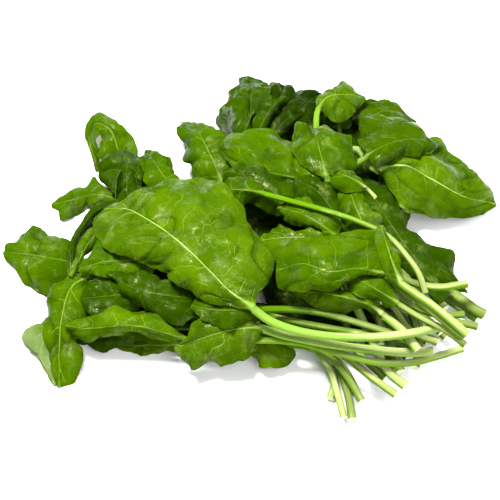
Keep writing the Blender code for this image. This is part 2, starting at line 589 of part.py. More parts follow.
             rib=[(84, 53, 32), (100, 55, 36), (118, 46, 36), (138, 35, 28), (160, 30, 14)],
             left=[(84, 62, 30), (94, 68, 28), (108, 70, 26), (120, 69.5, 24), (129, 65, 22), (138, 58, 20),
                   (147, 49, 16), (155, 40, 14)],
             right=[(84, 50, 28), (90, 42, 24), (97, 30, 18), (101, 24, 16), (114, 23, 18), (126, 20, 18),
                    (142, 21, 16), (155, 25, 12)],
             stalk_width=5.5, puff=3.0, wave=1.2, waves=2.5),
        leaf("right_upper",
             stalk=[(30, 30, 18), (48, 46, 24), (64, 54, 28)],
             rib=[(76, 61, 34), (88, 68, 40), (104, 72, 38), (123, 69, 26)],
             left=[(71, 70, 32), (69, 79, 30), (71, 87, 30), (82, 88, 32), (96, 85, 30), (105.5, 78.5, 26),
                   (113.5, 72, 26)],
             right=[(82, 54, 34), (90, 57, 34), (99, 61, 32), (110, 60.5, 30), (118, 64, 28)],
             stalk_width=5.0, puff=2.5, wave=1.5),
        leaf("back_left",
             stalk=[(60, 8, 14), (30, 22, 18), (0, 34, 24)],
             rib=[(-18, 44, 30), (-24, 58, 36), (-30, 70, 34), (-37, 83, 24)],
             left=[(-32, 44, 26), (-37.5, 49, 26), (-38, 54, 27), (-43, 56.5, 25), (-45, 61, 25),
                   (-43, 68, 26), (-46.5, 76, 22), (-45.5, 84, 20)],
             right=[(-9, 54, 32), (-11, 66, 32), (-14.5, 75, 30), (-24, 80.5, 28), (-31, 79.5, 26)],
             stalk_width=4.5, puff=2.5, wave=1.4),
        leaf("back_long",
             stalk=[(86, -34, 8), (76, -10, 12), (66, 12, 16), (59, 34, 24)],
             rib=[(52, 48, 34), (38, 46, 40), (22, 48.5, 42), (6, 52, 40), (-16, 60, 34)],
             left=[(46, 44, 32), (32, 43, 34), (16, 46, 34), (0, 49, 34), (-12, 54, 32)],
             right=[(48, 60, 38), (40, 70, 38), (27, 70, 36), (19, 76, 36), (12, 78, 36), (2, 76.5, 34),
                    (-8, 75.5, 32), (-16, 73.5, 32)],
             stalk_width=5.0, puff=3.5, wave=1.5),
        leaf("back_lobe",
             stalk=[(90, -28, 10), (80, -8, 14), (68, 12, 20), (57, 32, 30)],
             rib=[(50, 48, 40), (47, 58, 44), (44, 69, 44), (42, 79, 36)],
             left=[(42, 49, 36), (32, 56, 38), (26, 66, 38), (27, 75.5, 34), (33, 82, 32), (38.5, 78, 34)],
             right=[(58, 46, 36), (66, 53, 36), (71, 60, 36), (68, 66, 38), (65, 72, 36), (56, 78, 36),
                    (48, 79.5, 34)],
             stalk_width=5.0, puff=3.0, wave=1.8),
        leaf("centre_left",
             stalk=[(88, -83.5, 3), (80, -76, 4), (70, -66, 6), (60, -40, 8), (52, -10, 12), (40, 12, 16)],
             rib=[(30, 26, 20), (18, 36, 26), (4, 45, 28), (-14, 52, 26)],
             left=[(18, 22, 18), (2, 30, 20), (-12, 38, 20), (-18, 46, 22)],
             right=[(34, 38, 22), (24, 47, 24), (8, 52, 26), (-6, 55, 26)],
             stalk_width=4.5),
        leaf("centre_back",
             stalk=[(139, -42, 6), (122, -42, 8), (102, -34, 10), (84, -16, 14)],
             rib=[(64, 8, 20), (55, 24, 28), (44, 38, 32), (29, 46, 30)],
             left=[(50, 12, 18), (36, 26, 22), (28, 38, 24)],
             right=[(66, 22, 22), (60, 34, 26), (50, 44, 30), (38, 48, 30)],
             stalk_width=4.4, wave=2.0),
        leaf("right_wave",
             stalk=[(141, -22, 8), (122, -24, 10), (104, -20, 12), (90, -10, 16)],
             rib=[(80, 2, 22), (74, 16, 32), (68, 30, 34), (63, 45, 28)],
             left=[(68, 6, 20), (60, 18, 24), (58, 32, 26), (60, 42, 26)],
             right=[(86, 10, 24), (83, 20, 28), (76, 30, 34), (70, 40, 30)],
             stalk_width=4.8, wave=2.5, waves=2.5),
        leaf("little_fold",
             stalk=[(81.5, 34, 27), (79, 37, 28)],
             rib=[(75.5, 40.5, 30), (70, 44.5, 34), (64, 47.5, 36), (57, 50, 34)],
             left=[(72, 38, 28), (64, 36.5, 28), (56, 39, 30), (52.5, 45, 32)],
             right=[(73, 46, 32), (67, 51, 34), (61, 53, 34)],
             stalk_width=2.6, puff=0.6, wave=0.3),
        leaf("centre_fan",
             stalk=[(137, -50, 8), (120, -40, 14), (100, -24, 18), (78, -6, 22)],
             rib=[(56, 9, 28), (44, 18, 32), (32, 24, 32), (18, 28, 26)],
             left=[(48, 9, 26), (40, 14, 26), (31, 16, 24), (22, 21, 22)],
             right=[(60, 16, 28), (54, 25, 30), (40, 31, 30), (26, 32, 26)],
             stalk_width=4.2, wave=1.5),
        leaf("long_stalk",
             stalk=[(114, -28, 26), (110, -16, 32), (102, -4, 36), (90, 9, 40), (70, 19, 42), (46, 27, 40),
                    (24, 33, 38)],
             rib=[(9, 37, 36), (-2, 39, 38), (-13, 39, 34), (-25, 36, 28)],
             left=[(5, 34, 32), (0, 31, 30), (-7, 27, 28), (-18, 28, 26)],
             right=[(9, 41, 34), (1, 44, 34), (-8, 48, 32), (-20, 44, 28)],
             stalk_width=3.7),
        leaf("centre_pale",
             stalk=[(101, -88.5, 4), (91, -80, 6), (81, -62, 10), (68, -34, 16), (56, -8, 22)],
             rib=[(50, 4, 26), (36, 8, 30), (22, 8, 28), (6, 6, 22)],
             left=[(44, -6, 22), (32, -8, 22), (20, -8, 20), (10, -2, 18)],
             right=[(44, 12, 26), (32, 13, 28), (20, 16, 26), (12, 14, 22)],
             stalk_width=5.2),
        leaf("tip_beneath",
             stalk=[(52, -97, 3), (55, -84, 4), (48, -68, 6), (20, -60, 6)],
             rib=[(-8, -60, 8), (-34, -61, 12), (-60, -62, 10), (-87, -62, 6)],
             left=[(-14, -66, 6), (-36, -67, 6), (-54, -66.5, 5), (-68, -68.5, 4), (-80, -66.5, 4)],
             right=[(-14, -54, 8), (-38, -53, 10), (-60, -54, 10), (-78, -56, 8)],
             stalk_width=4.5),
        leaf("dark_beneath",
             stalk=[(66.5, -110, 3), (64.5, -98, 4), (60, -82, 5), (52, -67, 6), (20, -54, 8), (-24, -50, 8)],
             rib=[(-56, -50, 10), (-76, -54, 14), (-94, -57, 12), (-113, -59, 6)],
             left=[(-64, -58, 8), (-80, -61, 8), (-92, -66, 6), (-104, -63, 6)],
             right=[(-64, -42, 10), (-80, -44, 12), (-96, -48, 10), (-110, -53, 6)],
             stalk_width=4.5),
        leaf("lobed",
             stalk=[(61, -109, 3), (57, -94, 4), (51, -76, 5), (42, -64, 7)],
             rib=[(26, -59, 10), (6, -60, 14), (-12, -62, 12), (-32, -66, 8)],
             left=[(29, -66, 7), (24, -75, 5), (14, -76, 5), (4, -69, 5), (-8, -70, 5), (-22, -70, 5)],
             right=[(22, -54, 10), (8, -46, 12), (-8, -50, 12), (-24, -56, 10)],
             stalk_width=4.0),
        leaf("droop_back",
             stalk=[(-80, -30, 4), (-98, -32, 5)],
             rib=[(-112, -38, 8), (-128, -50, 14), (-136, -66, 10), (-126, -88, 2)],
             left=[(-116, -46, 8), (-122, -60, 8), (-122, -74, 6)],
             right=[(-122, -42, 10), (-135, -47.5, 12), (-147, -52, 10), (-146.5, -61, 6), (-137, -70.5, 4),
                    (-130.5, -83, 2)],
             turned=True, stalk_width=4.0, puff=1.0, wave=0.8),
        leaf("droop",
             stalk=[(-36, -36, 6), (-60, -30, 8), (-84, -22, 12)],
             rib=[(-104, -17, 20), (-116, -24, 26), (-122, -42, 22), (-124, -64, 12), (-124, -89, 1)],
             left=[(-102, -26, 16), (-99, -40, 14), (-108, -48, 14), (-112, -58, 12), (-108.5, -66, 8),
                   (-111, -77, 3), (-115.5, -86.5, 1)],
             right=[(-110, -15, 20), (-122, -19, 24), (-132, -30, 22), (-132.5, -43, 18), (-132, -60, 12),
                    (-130, -74, 6), (-127, -84, 2)],
             stalk_width=5.0, puff=2.5),
        leaf("edge_curve",
             stalk=[(-30, 0, 12), (-56, 14, 14), (-74, 24, 16)],
             rib=[(-86, 30, 20), (-99, 26, 24), (-110, 13, 22), (-116, -2, 16), (-117, -16, 10)],
             left=[(-93, 26, 16), (-102, 16, 14), (-110, 4, 12), (-114, -8, 10)],
             right=[(-94, 32, 22), (-104, 26, 24), (-113, 13, 22), (-118.5, 1, 18), (-118.5, -9, 12)],
             stalk_width=3.5, puff=0.8, wave=0.3),
        leaf("inner_strip",
             stalk=[(-50, 0, 12), (-76, 12, 14)],
             rib=[(-94, 15, 16), (-104, 6, 18), (-110, -4, 16), (-117, -17, 10)],
             left=[(-96, 8, 12), (-103, 0, 12), (-108, -6, 12), (-113, -12, 10)],
             right=[(-100, 16, 18), (-109, 8, 18), (-112.5, 0, 16), (-115, -9, 12)],
             stalk_width=3.5, wave=0.4),
        leaf("tucked_left",
             stalk=[(73, -98.5, 3), (62.5, -81.5, 4), (50, -67, 6), (20, -58, 8), (-20, -46, 8),
                    (-52, -36, 8)],
             rib=[(-68, -30, 10), (-80, -29, 14), (-92, -30, 12), (-110, -32, 8)],
             left=[(-74, -40, 8), (-88, -42, 10), (-104, -43, 8)],
             right=[(-74, -21, 10), (-88, -18, 12), (-104, -20, 10)],
             stalk_width=4.5),
        leaf("under_left",
             stalk=[(95, -94, 3), (80, -83.5, 4), (63, -70, 6), (38, -56, 8), (0, -36, 8), (-36, -14, 8)],
             rib=[(-60, -6, 10), (-80, -7, 14), (-96, -8, 12), (-112, -13, 8)],
             left=[(-66, -18, 8), (-82, -18, 8), (-96, -18, 8), (-106, -16, 8)],
             right=[(-68, 6, 10), (-86, 6, 10), (-98, 6, 10), (-106, -4, 8)],
             stalk_width=4.5),
        leaf("inner_dark",
             stalk=[(112, -66, 6), (94, -58, 8), (60, -52, 10), (20, -44, 12), (-12, -36, 14)],
             rib=[(-30, -33, 18), (-50, -30, 24), (-72, -26, 22), (-93, -15, 16)],
             left=[(-34, -41, 16), (-45, -48, 14), (-57, -46, 14), (-69, -39, 14), (-80, -29, 14),
                   (-88, -20, 14)],
             right=[(-36, -27, 18), (-48, -22, 20), (-62, -18, 20), (-78, -14, 18)],
             stalk_width=4.4),
        leaf("long_curl",
             stalk=[(138, -64, 4), (122, -69, 4), (104, -73, 4), (84, -73, 5), (62, -68, 7), (34, -60, 8),
                    (-8, -58, 8)],
             rib=[(-40, -59, 10), (-58, -53, 20), (-76, -49, 24), (-92, -50, 24), (-106, -51, 20),
                  (-120, -49, 14)],
             left=[(-48, -60, 8), (-62, -57, 10), (-76, -54, 10), (-92, -56, 10), (-106, -57, 10),
                   (-116, -54, 10)],
             right=[(-46, -55, 12), (-57, -45, 16), (-72, -39, 18), (-86, -38, 18), (-99, -41, 16),
                    (-111, -45, 14)],
             stalk_width=4.6, puff=2.0, wave=0.6),
        leaf("lower_broad",
             stalk=[(119, -66, 8), (100, -66.5, 8), (80, -64.5, 9), (60, -62, 10), (38, -58, 12),
                    (20, -54, 14)],
             rib=[(7, -50, 18), (-12, -52, 22), (-30, -57, 18), (-49, -64, 8)],
             left=[(4, -60, 12), (-3, -70, 7), (-11, -72, 6), (-19, -76.5, 4), (-27, -74, 4), (-36, -78, 3),
                   (-43, -72, 4)],
             right=[(6, -43, 18), (-12, -42, 20), (-28, -44, 22), (-36, -49, 20), (-39, -57, 14)],
             stalk_width=5.5, puff=2.5, wave=1.8),
        leaf("inner_gloss",
             stalk=[(109, -63, 8), (96, -56, 10), (76, -49, 12), (60, -44, 14), (44, -40, 16), (26, -38, 18)],
             rib=[(6, -38, 22), (-8, -39, 26), (-22, -39, 24), (-38, -36, 18)],
             left=[(3, -44, 20), (-4, -49, 18), (-12, -51, 18), (-21, -50, 18), (-29, -46, 18)],
             right=[(2, -32, 22), (-10, -28, 24), (-24, -28, 22), (-34, -31, 20)],
             stalk_width=4.5),
        leaf("front_small",
             stalk=[(109, -65, 6), (103, -56, 10), (95, -48, 14)],
             rib=[(86, -41, 20), (76, -35, 26), (63, -31, 28), (47, -28, 26), (28, -27, 20)],
             left=[(80, -42, 16), (72, -38, 18), (62, -39, 14), (52, -41, 14), (42, -37, 16), (33, -31, 18)],
             right=[(84, -35, 20), (76, -30, 24), (66, -26, 24), (54, -24, 24), (40, -25, 22)],
             stalk_width=5.2, puff=1.0, wave=0.5),
        leaf("broad_front",
             stalk=[(123, -50, 14), (110, -53, 16), (92, -55.5, 18), (70, -56.3, 20), (48, -55, 22),
                    (28, -51, 26), (12, -44.5, 32)],
             rib=[(2, -37, 38), (-13, -27, 42), (-25, -15, 44), (-38, -2, 43), (-52, 10, 41), (-67, 20, 36),
                  (-80, 26.5, 29), (-95, 26.5, 18)],
             left=[(-5, -38, 36), (-20, -36, 35), (-33, -31.5, 33), (-41, -27.5, 32), (-50, -20.5, 31),
                   (-57, -14.5, 29), (-68, -10, 27), (-78, -5.5, 25), (-88, -2.5, 22), (-97, 5, 18),
                   (-101.5, 13, 15), (-99.5, 22, 15)],
             right=[(5, -29, 38), (10, -23.5, 38), (14.5, -16, 38), (15.5, -6, 38), (9, 1, 38), (5, 10, 38),
                    (-2, 22, 38), (-8, 32, 36), (-16, 40, 33), (-25, 45.5, 31), (-38, 48, 30), (-50, 46, 28),
                    (-66, 39.5, 25), (-76, 34.5, 23), (-87, 30.5, 19)],
             stalk_width=5.3, puff=3.5, wave=2.0, waves=3.5),
        leaf("crumpled",
             stalk=[(140, -62, 8), (127, -52, 12), (110, -43, 16)],
             rib=[(96, -34, 22), (86, -28, 28), (76, -22, 28), (64, -16, 24)],
             left=[(90, -37, 18), (80, -31, 20), (70, -28, 20), (62, -23, 20)],
             right=[(96, -26, 22), (90, -18, 26), (82, -12, 26), (72, -10, 24)],
             stalk_width=4.0, wave=2.0, waves=2.0),
        leaf("middle",
             stalk=[(139, -57, 14), (126, -46, 20), (110, -33, 26), (99, -24, 30)],
             rib=[(88, -15, 36), (70, -12, 41), (52, -14, 43), (34, -9, 42), (17, -14, 34)],
             left=[(81, -17, 34), (71, -17, 34), (58, -23, 32), (46, -26, 32), (32, -27, 32), (21, -27, 30),
                   (17, -20, 30)],
             right=[(89, -6, 38), (87, 4, 38), (81, 12.5, 36), (70, 13, 38), (56, 11, 40), (42, 8.5, 40),
                    (29, 6, 38), (20, -3, 34)],
             stalk_width=4.6, puff=3.0, wave=1.0),
        leaf("folded_strip",
             stalk=[(141.5, -55, 12), (129, -44, 18), (117, -34, 24), (107, -27, 28)],
             rib=[(98, -20, 34), (93, -9, 40), (89, 3, 42), (85, 16, 36)],
             left=[(90, -19, 34), (85, -8, 38), (82, 3, 40), (81.5, 12, 38)],
             right=[(98, -12, 36), (95, -2, 38), (91, 8, 38)],
             stalk_width=4.8, puff=0.8, wave=0.4),
    ]


def green(name):
    """Fresh spinach: leaf green, half dull."""
    material = bpy.data.materials.new(name)
    material.use_nodes = True
    surface = material.node_tree.nodes["Principled BSDF"]
    surface.inputs["Base Color"].default_value = (0.13, 0.30, 0.01, 1.0)
    surface.inputs["Roughness"].default_value = 0.45
    return material


def main():
    for thing in list(bpy.data.objects):
        bpy.data.objects.remove(thing)
    bunch = bpy.data.collections.new("spinach_bunch")
    bpy.context.scene.collection.children.link(bunch)
    pile = np.full((2 * HALF_ACROSS + 1, 2 * HALF_UP + 1), EMPTY)
    bodies = []
    for drawn in drawing():
        points, faces, nodes, links = leaf_body(drawn)
        views = seen(points)
        views[:, 2] += come_to_rest(views, faces, nodes, links, pile)
        laid = unseen(views)
        laid[laid[:, 2] < FLAT_ON_TABLE, 2] = 0.0
        bodies.append((drawn["name"], laid, faces))
    everything = np.concatenate([laid for _, laid, _ in bodies])
    centre = (everything.min(axis=0) + everything.max(axis=0)) / 2
    centre[2] = 0.0
    for name, laid, faces in bodies:
        mesh = bpy.data.meshes.new(name)
        mesh.from_pydata(((laid - centre) * MM).tolist(), [], faces.tolist())
        mesh.materials.append(green(name))
        bunch.objects.link(bpy.data.objects.new(name, mesh))


main()
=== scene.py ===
"""Looks of the spinach bunch: a fine leaf, with veins and ruffles, for each leaf of the frame.

The leaves are drawn again as in the frame, by their stalk, rib and margins, and come to rest in the same
way. Each is then given a fine surface, which follows the frame's leaf. Lengths are in millimetres in
the drawing and in metres in the model.
"""

import math

import bpy
import numpy as np
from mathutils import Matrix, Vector

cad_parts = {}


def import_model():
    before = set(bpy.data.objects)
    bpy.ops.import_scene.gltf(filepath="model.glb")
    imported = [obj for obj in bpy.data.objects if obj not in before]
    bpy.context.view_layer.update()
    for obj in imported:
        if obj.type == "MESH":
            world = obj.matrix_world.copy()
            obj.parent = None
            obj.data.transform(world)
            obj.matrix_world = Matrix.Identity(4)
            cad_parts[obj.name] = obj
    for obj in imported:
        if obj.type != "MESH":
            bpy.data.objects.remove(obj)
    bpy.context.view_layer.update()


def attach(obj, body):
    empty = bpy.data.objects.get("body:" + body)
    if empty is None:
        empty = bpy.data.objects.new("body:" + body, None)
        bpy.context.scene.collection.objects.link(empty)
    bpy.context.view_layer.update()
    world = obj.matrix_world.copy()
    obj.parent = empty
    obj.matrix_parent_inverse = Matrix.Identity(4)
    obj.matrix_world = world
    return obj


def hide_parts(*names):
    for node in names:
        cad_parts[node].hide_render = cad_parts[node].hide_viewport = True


MM = 0.001

# The drawing is made from this far, looking down at this angle on the table's origin.
SIGHT_DISTANCE = 900.0
SIGHT_ANGLE = math.radians(50.0)
PICTURE_WIDTH = 325.0
SENSOR_WIDTH = 36.0

# The floor reaches this far, in metres. Each lamp has a name, a place, a width and a power.
FLOOR_REACH = 3.0
LAMPS = (
    ("key", (-0.4, 0.3, 1.3), 0.5, 66.0),
    ("fill", (0.6, -1.0, 0.9), 1.4, 22.0),
    ("side", (1.2, 0.2, 0.8), 1.0, 12.0),
)
SKY_STRENGTH = 0.3

# Leaf sizes. A stalk is wider at its cut, by the flare. A rib stands out mostly from the under face.
BLADE_THICKNESS = 0.7
STALK_THICKNESS_SHARE = 0.85
FLARE = 0.15
FLARE_LENGTH = 12.0
STALK_SINKS = 0.4
RIB_RUNS_OUT = 0.22
RIB_KEPT = 0.5
RIB_HALF_WIDTH = 3.0
RIB_ON_UPPER_FACE = 0.15
TIP_WIDTH = 3.0

# A margin's wave has a smaller one on it, starts elsewhere on the right side, and fades out at both ends.
RIGHT_STARTS_AT = 2.1
SMALL_WAVE_HEIGHT = 0.5
SMALL_WAVE_COUNT = 2.7
WAVE_FADE = 6

# How finely the frame's leaf is divided.
RING_SPACING = 9.0
MOST_RINGS = 15
FEWEST_RINGS = 6
STALK_RING_SPACING = 18.0
STALK_SIDES = 6
WIDE_BLADE = 42.0
WIDE_STRIPS = (-1.0, -0.62, -0.26, 0.0, 0.26, 0.62, 1.0)
NARROW_STRIPS = (-1.0, -0.45, 0.0, 0.45, 1.0)
SHEET_ROWS = 49
SHEET_COLUMNS = 33
LINE_POINTS = 200
LAST_RING_BACK = 0.35

# How a leaf comes to rest. The pile is kept as a grid of cells, each with its nearness to the sight point.
CELL = 1.0
HALF_ACROSS = 180
HALF_UP = 135
EMPTY = -1e6
CLEARANCE = 0.35
FALL = 0.5
DROPS = 140
FAST_DROPS = 0.6
SLOW_SHARE = 0.3
STIFFNESS = 0.5
BEND_ROUNDS = 4
PUSH_ROUNDS = 3
LAST_ROUNDS = 200
MOST_SUNK = 0.004
PUSHED_PAST = 1.02

# The fine leaf.
FINE_SPACING = 1.0
DEEP_SPACING = 1.5
FINE_STALK_SPACING = 3.0
FINE_STALK_SIDES = 20
GROOVE_WIDTH = 0.25
GROOVE_DEPTH = 0.30
STRING_HEIGHT = 0.03
FINE_THICKNESS = 0.5
FINE_GAP = 0.12
VEIN_SPACING = 17.0
VEIN_SWEEP = 0.2
QUILT = 0.8
EDGE_BAND = 0.35
FIRST_SEED = 100
DEEP_LEAVES = ("left_floor", "left_floor_low", "under_front", "under_front_back", "upper_left_floor",
               "centre_floor", "centre_floor_low", "right_floor", "back_floor", "top_right_floor",
               "under_middle")

# The fine leaf's relief, in millimetres. A length is what a rolling relief's waves are about.
BEND_LENGTH = 38.0
SMALL_BEND_LENGTH = 9.0
PATCH_LENGTH = 45.0
QUILT_GAP = 14.0
VEIN_VALLEY = 2.4
CREASE_LENGTH = 30.0
CREASE_WIDTH = 0.15
CREASE_DEPTH = 1.2
CREASE_PATCH_LENGTH = 50.0
SWELL_HEIGHT = 0.75
SWELL_LENGTH = 27.0
SMALL_SWELL_HEIGHT = 0.2
SMALL_SWELL_LENGTH = 11.0
GRAIN_HEIGHT = 0.06
GRAIN_LENGTH = 4.5
RUFFLE_HEIGHT = 1.5
RUFFLE_LENGTH = 19.0
TOOTH_DEPTH = 0.4
TOOTH_LENGTH = 13.0
SMALL_TOOTH_DEPTH = 0.2
SMALL_TOOTH_LENGTH = 4.5
BITE_DEPTH = 2.4
BITE_LENGTH = 10.0

# How a fine leaf is lifted clear: rounds at most, the depth that may be left, and the height over the table.
LIFT_ROUNDS = 10
LIFT_LEFT = 0.03
OVER_TABLE = 0.02

# The hollow of a cut end, as a share of its width and as depths.
HOLLOW_SHARE = 0.55
HOLLOW_RIM_DEPTH = 0.25
HOLLOW_DEPTH = 0.5


def direction_of(vectors):
    """The vectors scaled to length one."""
    return vectors / np.maximum(np.linalg.norm(vectors, axis=-1, keepdims=True), 1e-9)


RIGHT = np.array([1.0, 0.0, 0.0])
UPWARD = np.array([0.0, math.sin(SIGHT_ANGLE), math.cos(SIGHT_ANGLE)])
TOWARDS = np.array([0.0, -math.cos(SIGHT_ANGLE), math.sin(SIGHT_ANGLE)])
SIGHT_POINT = TOWARDS * SIGHT_DISTANCE
VERTICAL = np.array([0.0, 0.0, 1.0])


def table_nearness(up):
    """How near the sight point the table is, from the drawing plane on, that far up in the drawing."""
    reach = SIGHT_POINT[2] / (SIGHT_POINT[2] - up * UPWARD[2])
    return SIGHT_DISTANCE * (1.0 - reach)


def stand(drawn):
    """Drawn points (across, up, height above the table) in space, each on its line of sight."""
    drawn = np.asarray(drawn, float)
    on_plane = drawn[..., :1] * RIGHT + drawn[..., 1:2] * UPWARD
    reach = (SIGHT_POINT[2] - drawn[..., 2:]) / (SIGHT_POINT[2] - on_plane[..., 2:])
    return SIGHT_POINT + (on_plane - SIGHT_POINT) * reach


def seen(points):
    """Points in space as (across, up, nearness over the table) in the drawing."""
    near = points @ TOWARDS
    reach = 1.0 - near / SIGHT_DISTANCE
    across = points @ RIGHT / reach
    up = points @ UPWARD / reach
    return np.stack([across, up, near - table_nearness(up)], axis=-1)


def unseen(views):
    """The inverse of seen: (across, up, nearness over the table) as points in space."""
    near = views[:, 2] + table_nearness(views[:, 1])
    reach = (1.0 - near / SIGHT_DISTANCE)[:, None]
    on_plane = views[:, :1] * RIGHT + views[:, 1:2] * UPWARD
    return SIGHT_POINT + (on_plane - SIGHT_POINT) * reach


def carried(at, gaps, values, spots):
    """Values along the first axis, known at the places at, which lie gaps apart, carried to other spots.

    Between two places runs a cubic, whose slope at each is the mean of the slopes on both sides of it.
    """
    wide = (slice(None),) + (None,) * (values.ndim - 1)
    slopes = np.diff(values, axis=0) / gaps[wide]
    inner = (slopes[:-1] * gaps[1:][wide] + slopes[1:] * gaps[:-1][wide]) / (gaps[:-1] + gaps[1:])[wide]
    tangents = np.concatenate([slopes[:1], inner, slopes[-1:]])
    k = np.clip(np.searchsorted(at, spots, side="right") - 1, 0, len(gaps) - 1)
    g = gaps[k][wide]
    u = ((spots - at[k]) / gaps[k])[wide]
    return (
        values[k] * (2 * u**3 - 3 * u**2 + 1)
        + tangents[k] * g * (u**3 - 2 * u**2 + u)
        + values[k + 1] * (3 * u**2 - 2 * u**3)
        + tangents[k + 1] * g * (u**3 - u**2)
    )


def smooth_curve(knots, shares):
    """Points at the given shares of a cubic curve through the knots."""
    knots = np.asarray(knots, float)
    gaps = np.maximum(np.linalg.norm(np.diff(knots, axis=0), axis=1), 1e-6)
    at = np.concatenate([[0.0], np.cumsum(gaps)])
    return carried(at, gaps, knots, np.asarray(shares, float) * at[-1])


def length_of(points):
    """The length of the line through the points."""
    return float(np.linalg.norm(np.diff(points, axis=0), axis=1).sum())


def sideways(along):
    """The level direction to the right of each direction of travel."""
    return direction_of(np.cross(along, VERTICAL))


def blade_sheet(leaf, rows, shares):
    """The blade's middle surface at rows from base to tip and shares from left margin, -1, to right, 1.

    At each row a parabola runs from the rib over the side's crest, where it has one, to the margin. The
    half blade is puffed between rib and margin by half a sine, and its margin waves with a sine.
    """
    rib_knots = stand(leaf["rib"])
    rib = smooth_curve(rib_knots, rows)
    right_at_base = sideways(rib[1] - rib[0])
    right_at_tip = sideways(rib[-1] - rib[-2])
    sheet = np.zeros((len(rows), len(shares), 3))
    for side, name in ((-1, "left"), (1, "right")):
        first = rib[0] + side * right_at_base * leaf["stalk_width"] / 2
        last = rib[-1] + side * right_at_tip * TIP_WIDTH / 2
        margin = smooth_curve(np.vstack([first, stand(leaf[name]), last]), rows)
        half = shares * side >= 0
        x = np.abs(shares[half])[None, :, None]
        straight = rib[:, None] * (1 - x) + margin[:, None] * x
        crest = leaf.get(name + "_crest")
        if crest is not None:
            ridge = smooth_curve(np.vstack([(first + rib[0]) / 2, stand(crest), (last + rib[-1]) / 2]), rows)
            straight = straight + 4 * x * (1 - x) * (ridge - (rib + margin) / 2)[:, None]
        sheet[:, half] = straight
    lengthways = np.gradient(sheet, axis=0)
    crossways = np.gradient(sheet, axis=1)
    normals = direction_of(np.cross(crossways, lengthways))
    x = np.abs(shares)[None, :]
    t = rows[:, None]
    hush = np.clip(np.minimum(t, 1 - t) * WAVE_FADE, 0, 1)
    phase = np.where(shares < 0, 0.0, RIGHT_STARTS_AT)[None, :]
    turns = 2 * math.pi * leaf["waves"] * t
    small_wave = SMALL_WAVE_HEIGHT * np.sin(SMALL_WAVE_COUNT * turns + 3 * phase)
    wave = leaf["wave"] * x**2 * (np.sin(turns + phase) + small_wave)
    puff = leaf["puff"] * np.sin(math.pi * x)
    return sheet + normals * ((wave + puff) * hush)[..., None]


def sheet_at(sheet, rows, shares):
    """The sheet's values at each row share and each side share, by straight interpolation."""
    i = np.asarray(rows) * (sheet.shape[0] - 1)
    j = (np.asarray(shares) + 1) / 2 * (sheet.shape[1] - 1)
    i0 = np.clip(i.astype(int), 0, sheet.shape[0] - 2)
    j0 = np.clip(j.astype(int), 0, sheet.shape[1] - 2)
    u = (i - i0)[:, None, None]
    v = (j - j0)[None, :, None]
    a = sheet[i0][:, j0] * (1 - v) + sheet[i0][:, j0 + 1] * v
    b = sheet[i0 + 1][:, j0] * (1 - v) + sheet[i0 + 1][:, j0 + 1] * v
    return a * (1 - u) + b * u


def stalk_rings(leaf, shares, coarse, sides, grooved):
    """Rings round the stalk's centre line, at shares of the line that runs on into the rib.

    A ring is an ellipse. A grooved one has a channel along its top, which deepens away from the cut, and
    small ribs, each a cosine round the ring.
    """
    knots = np.vstack([stand(leaf["stalk"]), stand(leaf["rib"][1:2])])
    centres = smooth_curve(knots, shares)
    ahead = direction_of(smooth_curve(knots, np.minimum(shares + 0.01, 1.0)) - centres)
    right = sideways(ahead)
    rise = np.cross(right, ahead)
    turn = (math.pi - np.arange(sides) * 2 * math.pi / sides)[None, :, None]
    way = np.linspace(0.0, 1.0, len(shares))[:, None, None]
    flare = 1.0 + FLARE * np.exp(-way * coarse["stalk_length"] / FLARE_LENGTH)
    half_width = leaf["stalk_width"] / 2 * flare
    thick = leaf["stalk_width"] * STALK_THICKNESS_SHARE - BLADE_THICKNESS
    drop = thick * STALK_SINKS * way * (-1 if leaf["turned"] else 1)
    round_part = np.sin(turn) * STALK_THICKNESS_SHARE
    if grooved:
        upper = -1 if leaf["turned"] else 1
        from_top = (np.sin(turn) * upper - 1) / GROOVE_WIDTH
        groove = np.exp(-(from_top**2)) * GROOVE_DEPTH * np.clip(way * 3, 0, 1)
        round_part = round_part - groove * upper + STRING_HEIGHT * np.cos(turn * 9) * np.sin(turn)
        half_width = half_width * (1.0 + STRING_HEIGHT * np.cos(turn * 7 + 1.0))
    across = right[:, None] * np.cos(turn) * half_width
    return centres[:, None] + across + rise[:, None] * (round_part * half_width - drop)


